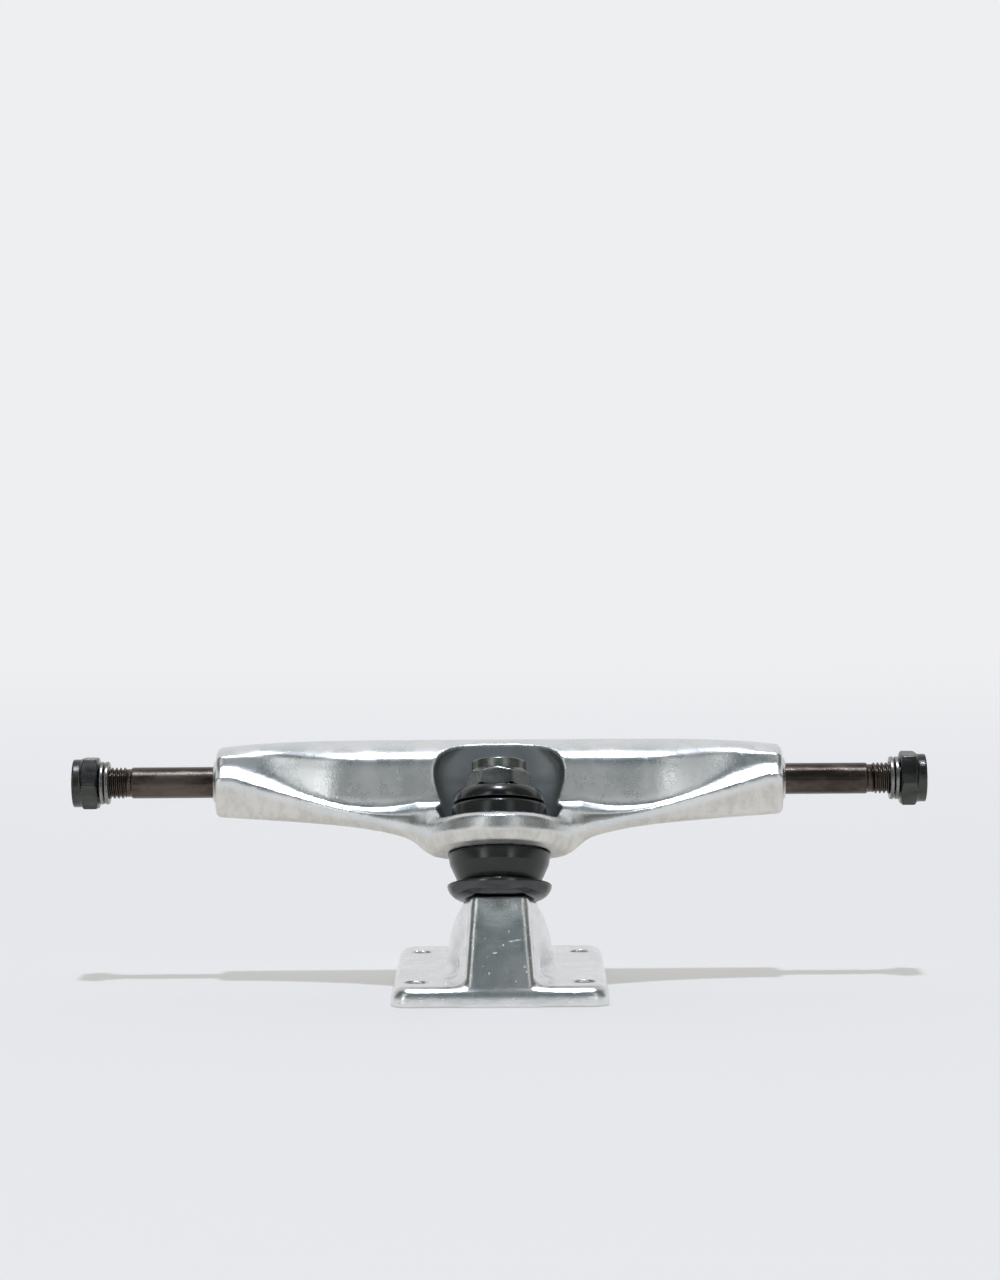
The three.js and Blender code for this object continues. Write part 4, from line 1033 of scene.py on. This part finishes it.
# In reflections its part near the camera is painted dark: a painted reflection of a dark room
painted_dark_in_reflections = times(tree, spread(tree, where.outputs["Y"], -0.50, -0.32, 1.0, 0.0), mirrored)
surface = paper_shader.outputs[0]
for glow_colour, share in (
    (paper_glow, 0.45),
    (painted_dark_reflection, painted_dark_in_reflections),
    (backdrop_colour, spread(tree, where.outputs["Y"], 0.1, 1.6)),
):
    glow = node(tree, "ShaderNodeEmission")
    feed(tree, glow.inputs["Color"], glow_colour)
    blended = node(tree, "ShaderNodeMixShader")
    feed(tree, blended.inputs["Fac"], share)
    tree.links.new(surface, blended.inputs[1])
    tree.links.new(glow.outputs[0], blended.inputs[2])
    surface = blended.outputs[0]
tree.links.new(surface, tree.nodes["Material Output"].inputs["Surface"])
floor.data.materials.append(floor_paper)

# Light. A lamp high in front casts the one clear shadow. Left and right of the camera stand a tall dim soft
# box and a low bright strip. The room is dark between them and at the sides, and bright overhead and behind.
sun = bpy.data.lights.new("high_lamp", "SUN")
sun.energy = 1.8
sun.color = (0.93, 1.0, 1.18)
sun.angle = math.radians(3)
high_lamp = in_scene("high_lamp", sun)
lamp_rise = math.radians(79)
towards_lamp = Vector((0, -math.cos(lamp_rise), math.sin(lamp_rise)))
high_lamp.rotation_euler = towards_lamp.to_track_quat("Z", "Y").to_euler()
bright_panels = (
    ("left_soft_box", (-0.60, -0.88, 0.74), (0.40, 0.75), 1.2),
    ("right_soft_box", (0.54, -0.90, 0.74), (0.34, 0.75), 0.9),
    ("left_strip", (-0.62, -0.86, 0.085), (0.28, 0.13), 4.8),
    ("right_strip", (0.46, -0.92, 0.085), (0.24, 0.13), 3.0),
)
for name, middle, extent, brightness in bright_panels:
    panel = bpy.data.lights.new(name, "AREA")
    panel.shape = "RECTANGLE"
    panel.size, panel.size_y = extent
    panel.energy = brightness * math.pi * extent[0] * extent[1]
    soft_box = in_scene(name, panel)
    soft_box.location = middle
    soft_box.rotation_euler = (math.radians(90), 0, 0)
world = bpy.data.worlds.new("room")
bpy.context.scene.world = world
world.use_nodes = True
tree = world.node_tree
tree.nodes.clear()
direction = node(tree, "ShaderNodeSeparateXYZ")
tree.links.new(node(tree, "ShaderNodeTexCoord").outputs["Generated"], direction.inputs[0])
round_room = node(tree, "ShaderNodeValToRGB")
wall_stops = (
    (0.0, (0.135, 0.165, 0.172)), (0.12, (0.135, 0.165, 0.172)),
    (0.20, (0.15, 0.15, 0.14)), (0.56, (0.15, 0.15, 0.14)), (0.68, (0.80, 0.80, 0.81)),
)
while len(round_room.color_ramp.elements) < len(wall_stops):
    round_room.color_ramp.elements.new(0.5)
for element, (at, tint) in zip(round_room.color_ramp.elements, wall_stops):
    element.position = at
    element.color = (*tint, 1)
tree.links.new(sum_up(tree, "MULTIPLY_ADD", direction.outputs["Y"], 0.5, 0.5), round_room.inputs[0])
height = direction.outputs["Z"]
before = spread(tree, direction.outputs["Y"], -0.5, 0.0, 1.0, 0.0)
lower_wall = times(tree, spread(tree, height, 0.14, 0.40, 1.0, 0.0), before)
skirting = times(tree, spread(tree, height, 0.06, 0.11, 1.0, 0.0), before)
room = mix(tree, round_room.outputs["Color"], (0.45, 0.475, 0.475), lower_wall)
room = mix(tree, room, (0.18, 0.18, 0.18), skirting)
room = mix(tree, room, (0.46, 0.48, 0.48), spread(tree, height, 0.86, 0.96))
room = mix(tree, room, (1.18, 1.19, 1.20), spread(tree, height, 0.955, 0.985))
room = mix(tree, room, backdrop_colour, node(tree, "ShaderNodeLightPath").outputs["Is Camera Ray"])
glow = node(tree, "ShaderNodeBackground")
tree.links.new(room, glow.inputs["Color"])
tree.links.new(glow.outputs[0], node(tree, "ShaderNodeOutputWorld").inputs[0])

# Camera. It stands 0.88 m in front of the truck, a little above the axle, and looks slightly down through a
# long lens. Its small roll lies between the lean of the plate and that of the hanger in the photograph.
camera_place = Vector((3.377, -883.89, 131.566)) * MM
tilt, yaw, roll = math.radians(2.839), math.radians(0.188), math.radians(0.408)
level_right = Vector((math.cos(yaw), math.sin(yaw), 0))
level_ahead = Vector((-math.sin(yaw), math.cos(yaw), 0))
ahead = level_ahead * math.cos(tilt) - Vector((0, 0, 1)) * math.sin(tilt)
level_up = level_ahead * math.sin(tilt) + Vector((0, 0, 1)) * math.cos(tilt)
camera_right = level_right * math.cos(roll) - level_up * math.sin(roll)
camera_up = level_right * math.sin(roll) + level_up * math.cos(roll)
lens = bpy.data.cameras.new("camera")
lens.sensor_width = 36
lens.lens = 98.6
lens.clip_start = 0.05
camera = in_scene("camera", lens)
facing = Matrix((camera_right, camera_up, -ahead)).transposed().to_4x4()
camera.matrix_world = Matrix.Translation(camera_place) @ facing
bpy.context.scene.camera = camera
bpy.context.scene.view_settings.view_transform = "Standard"
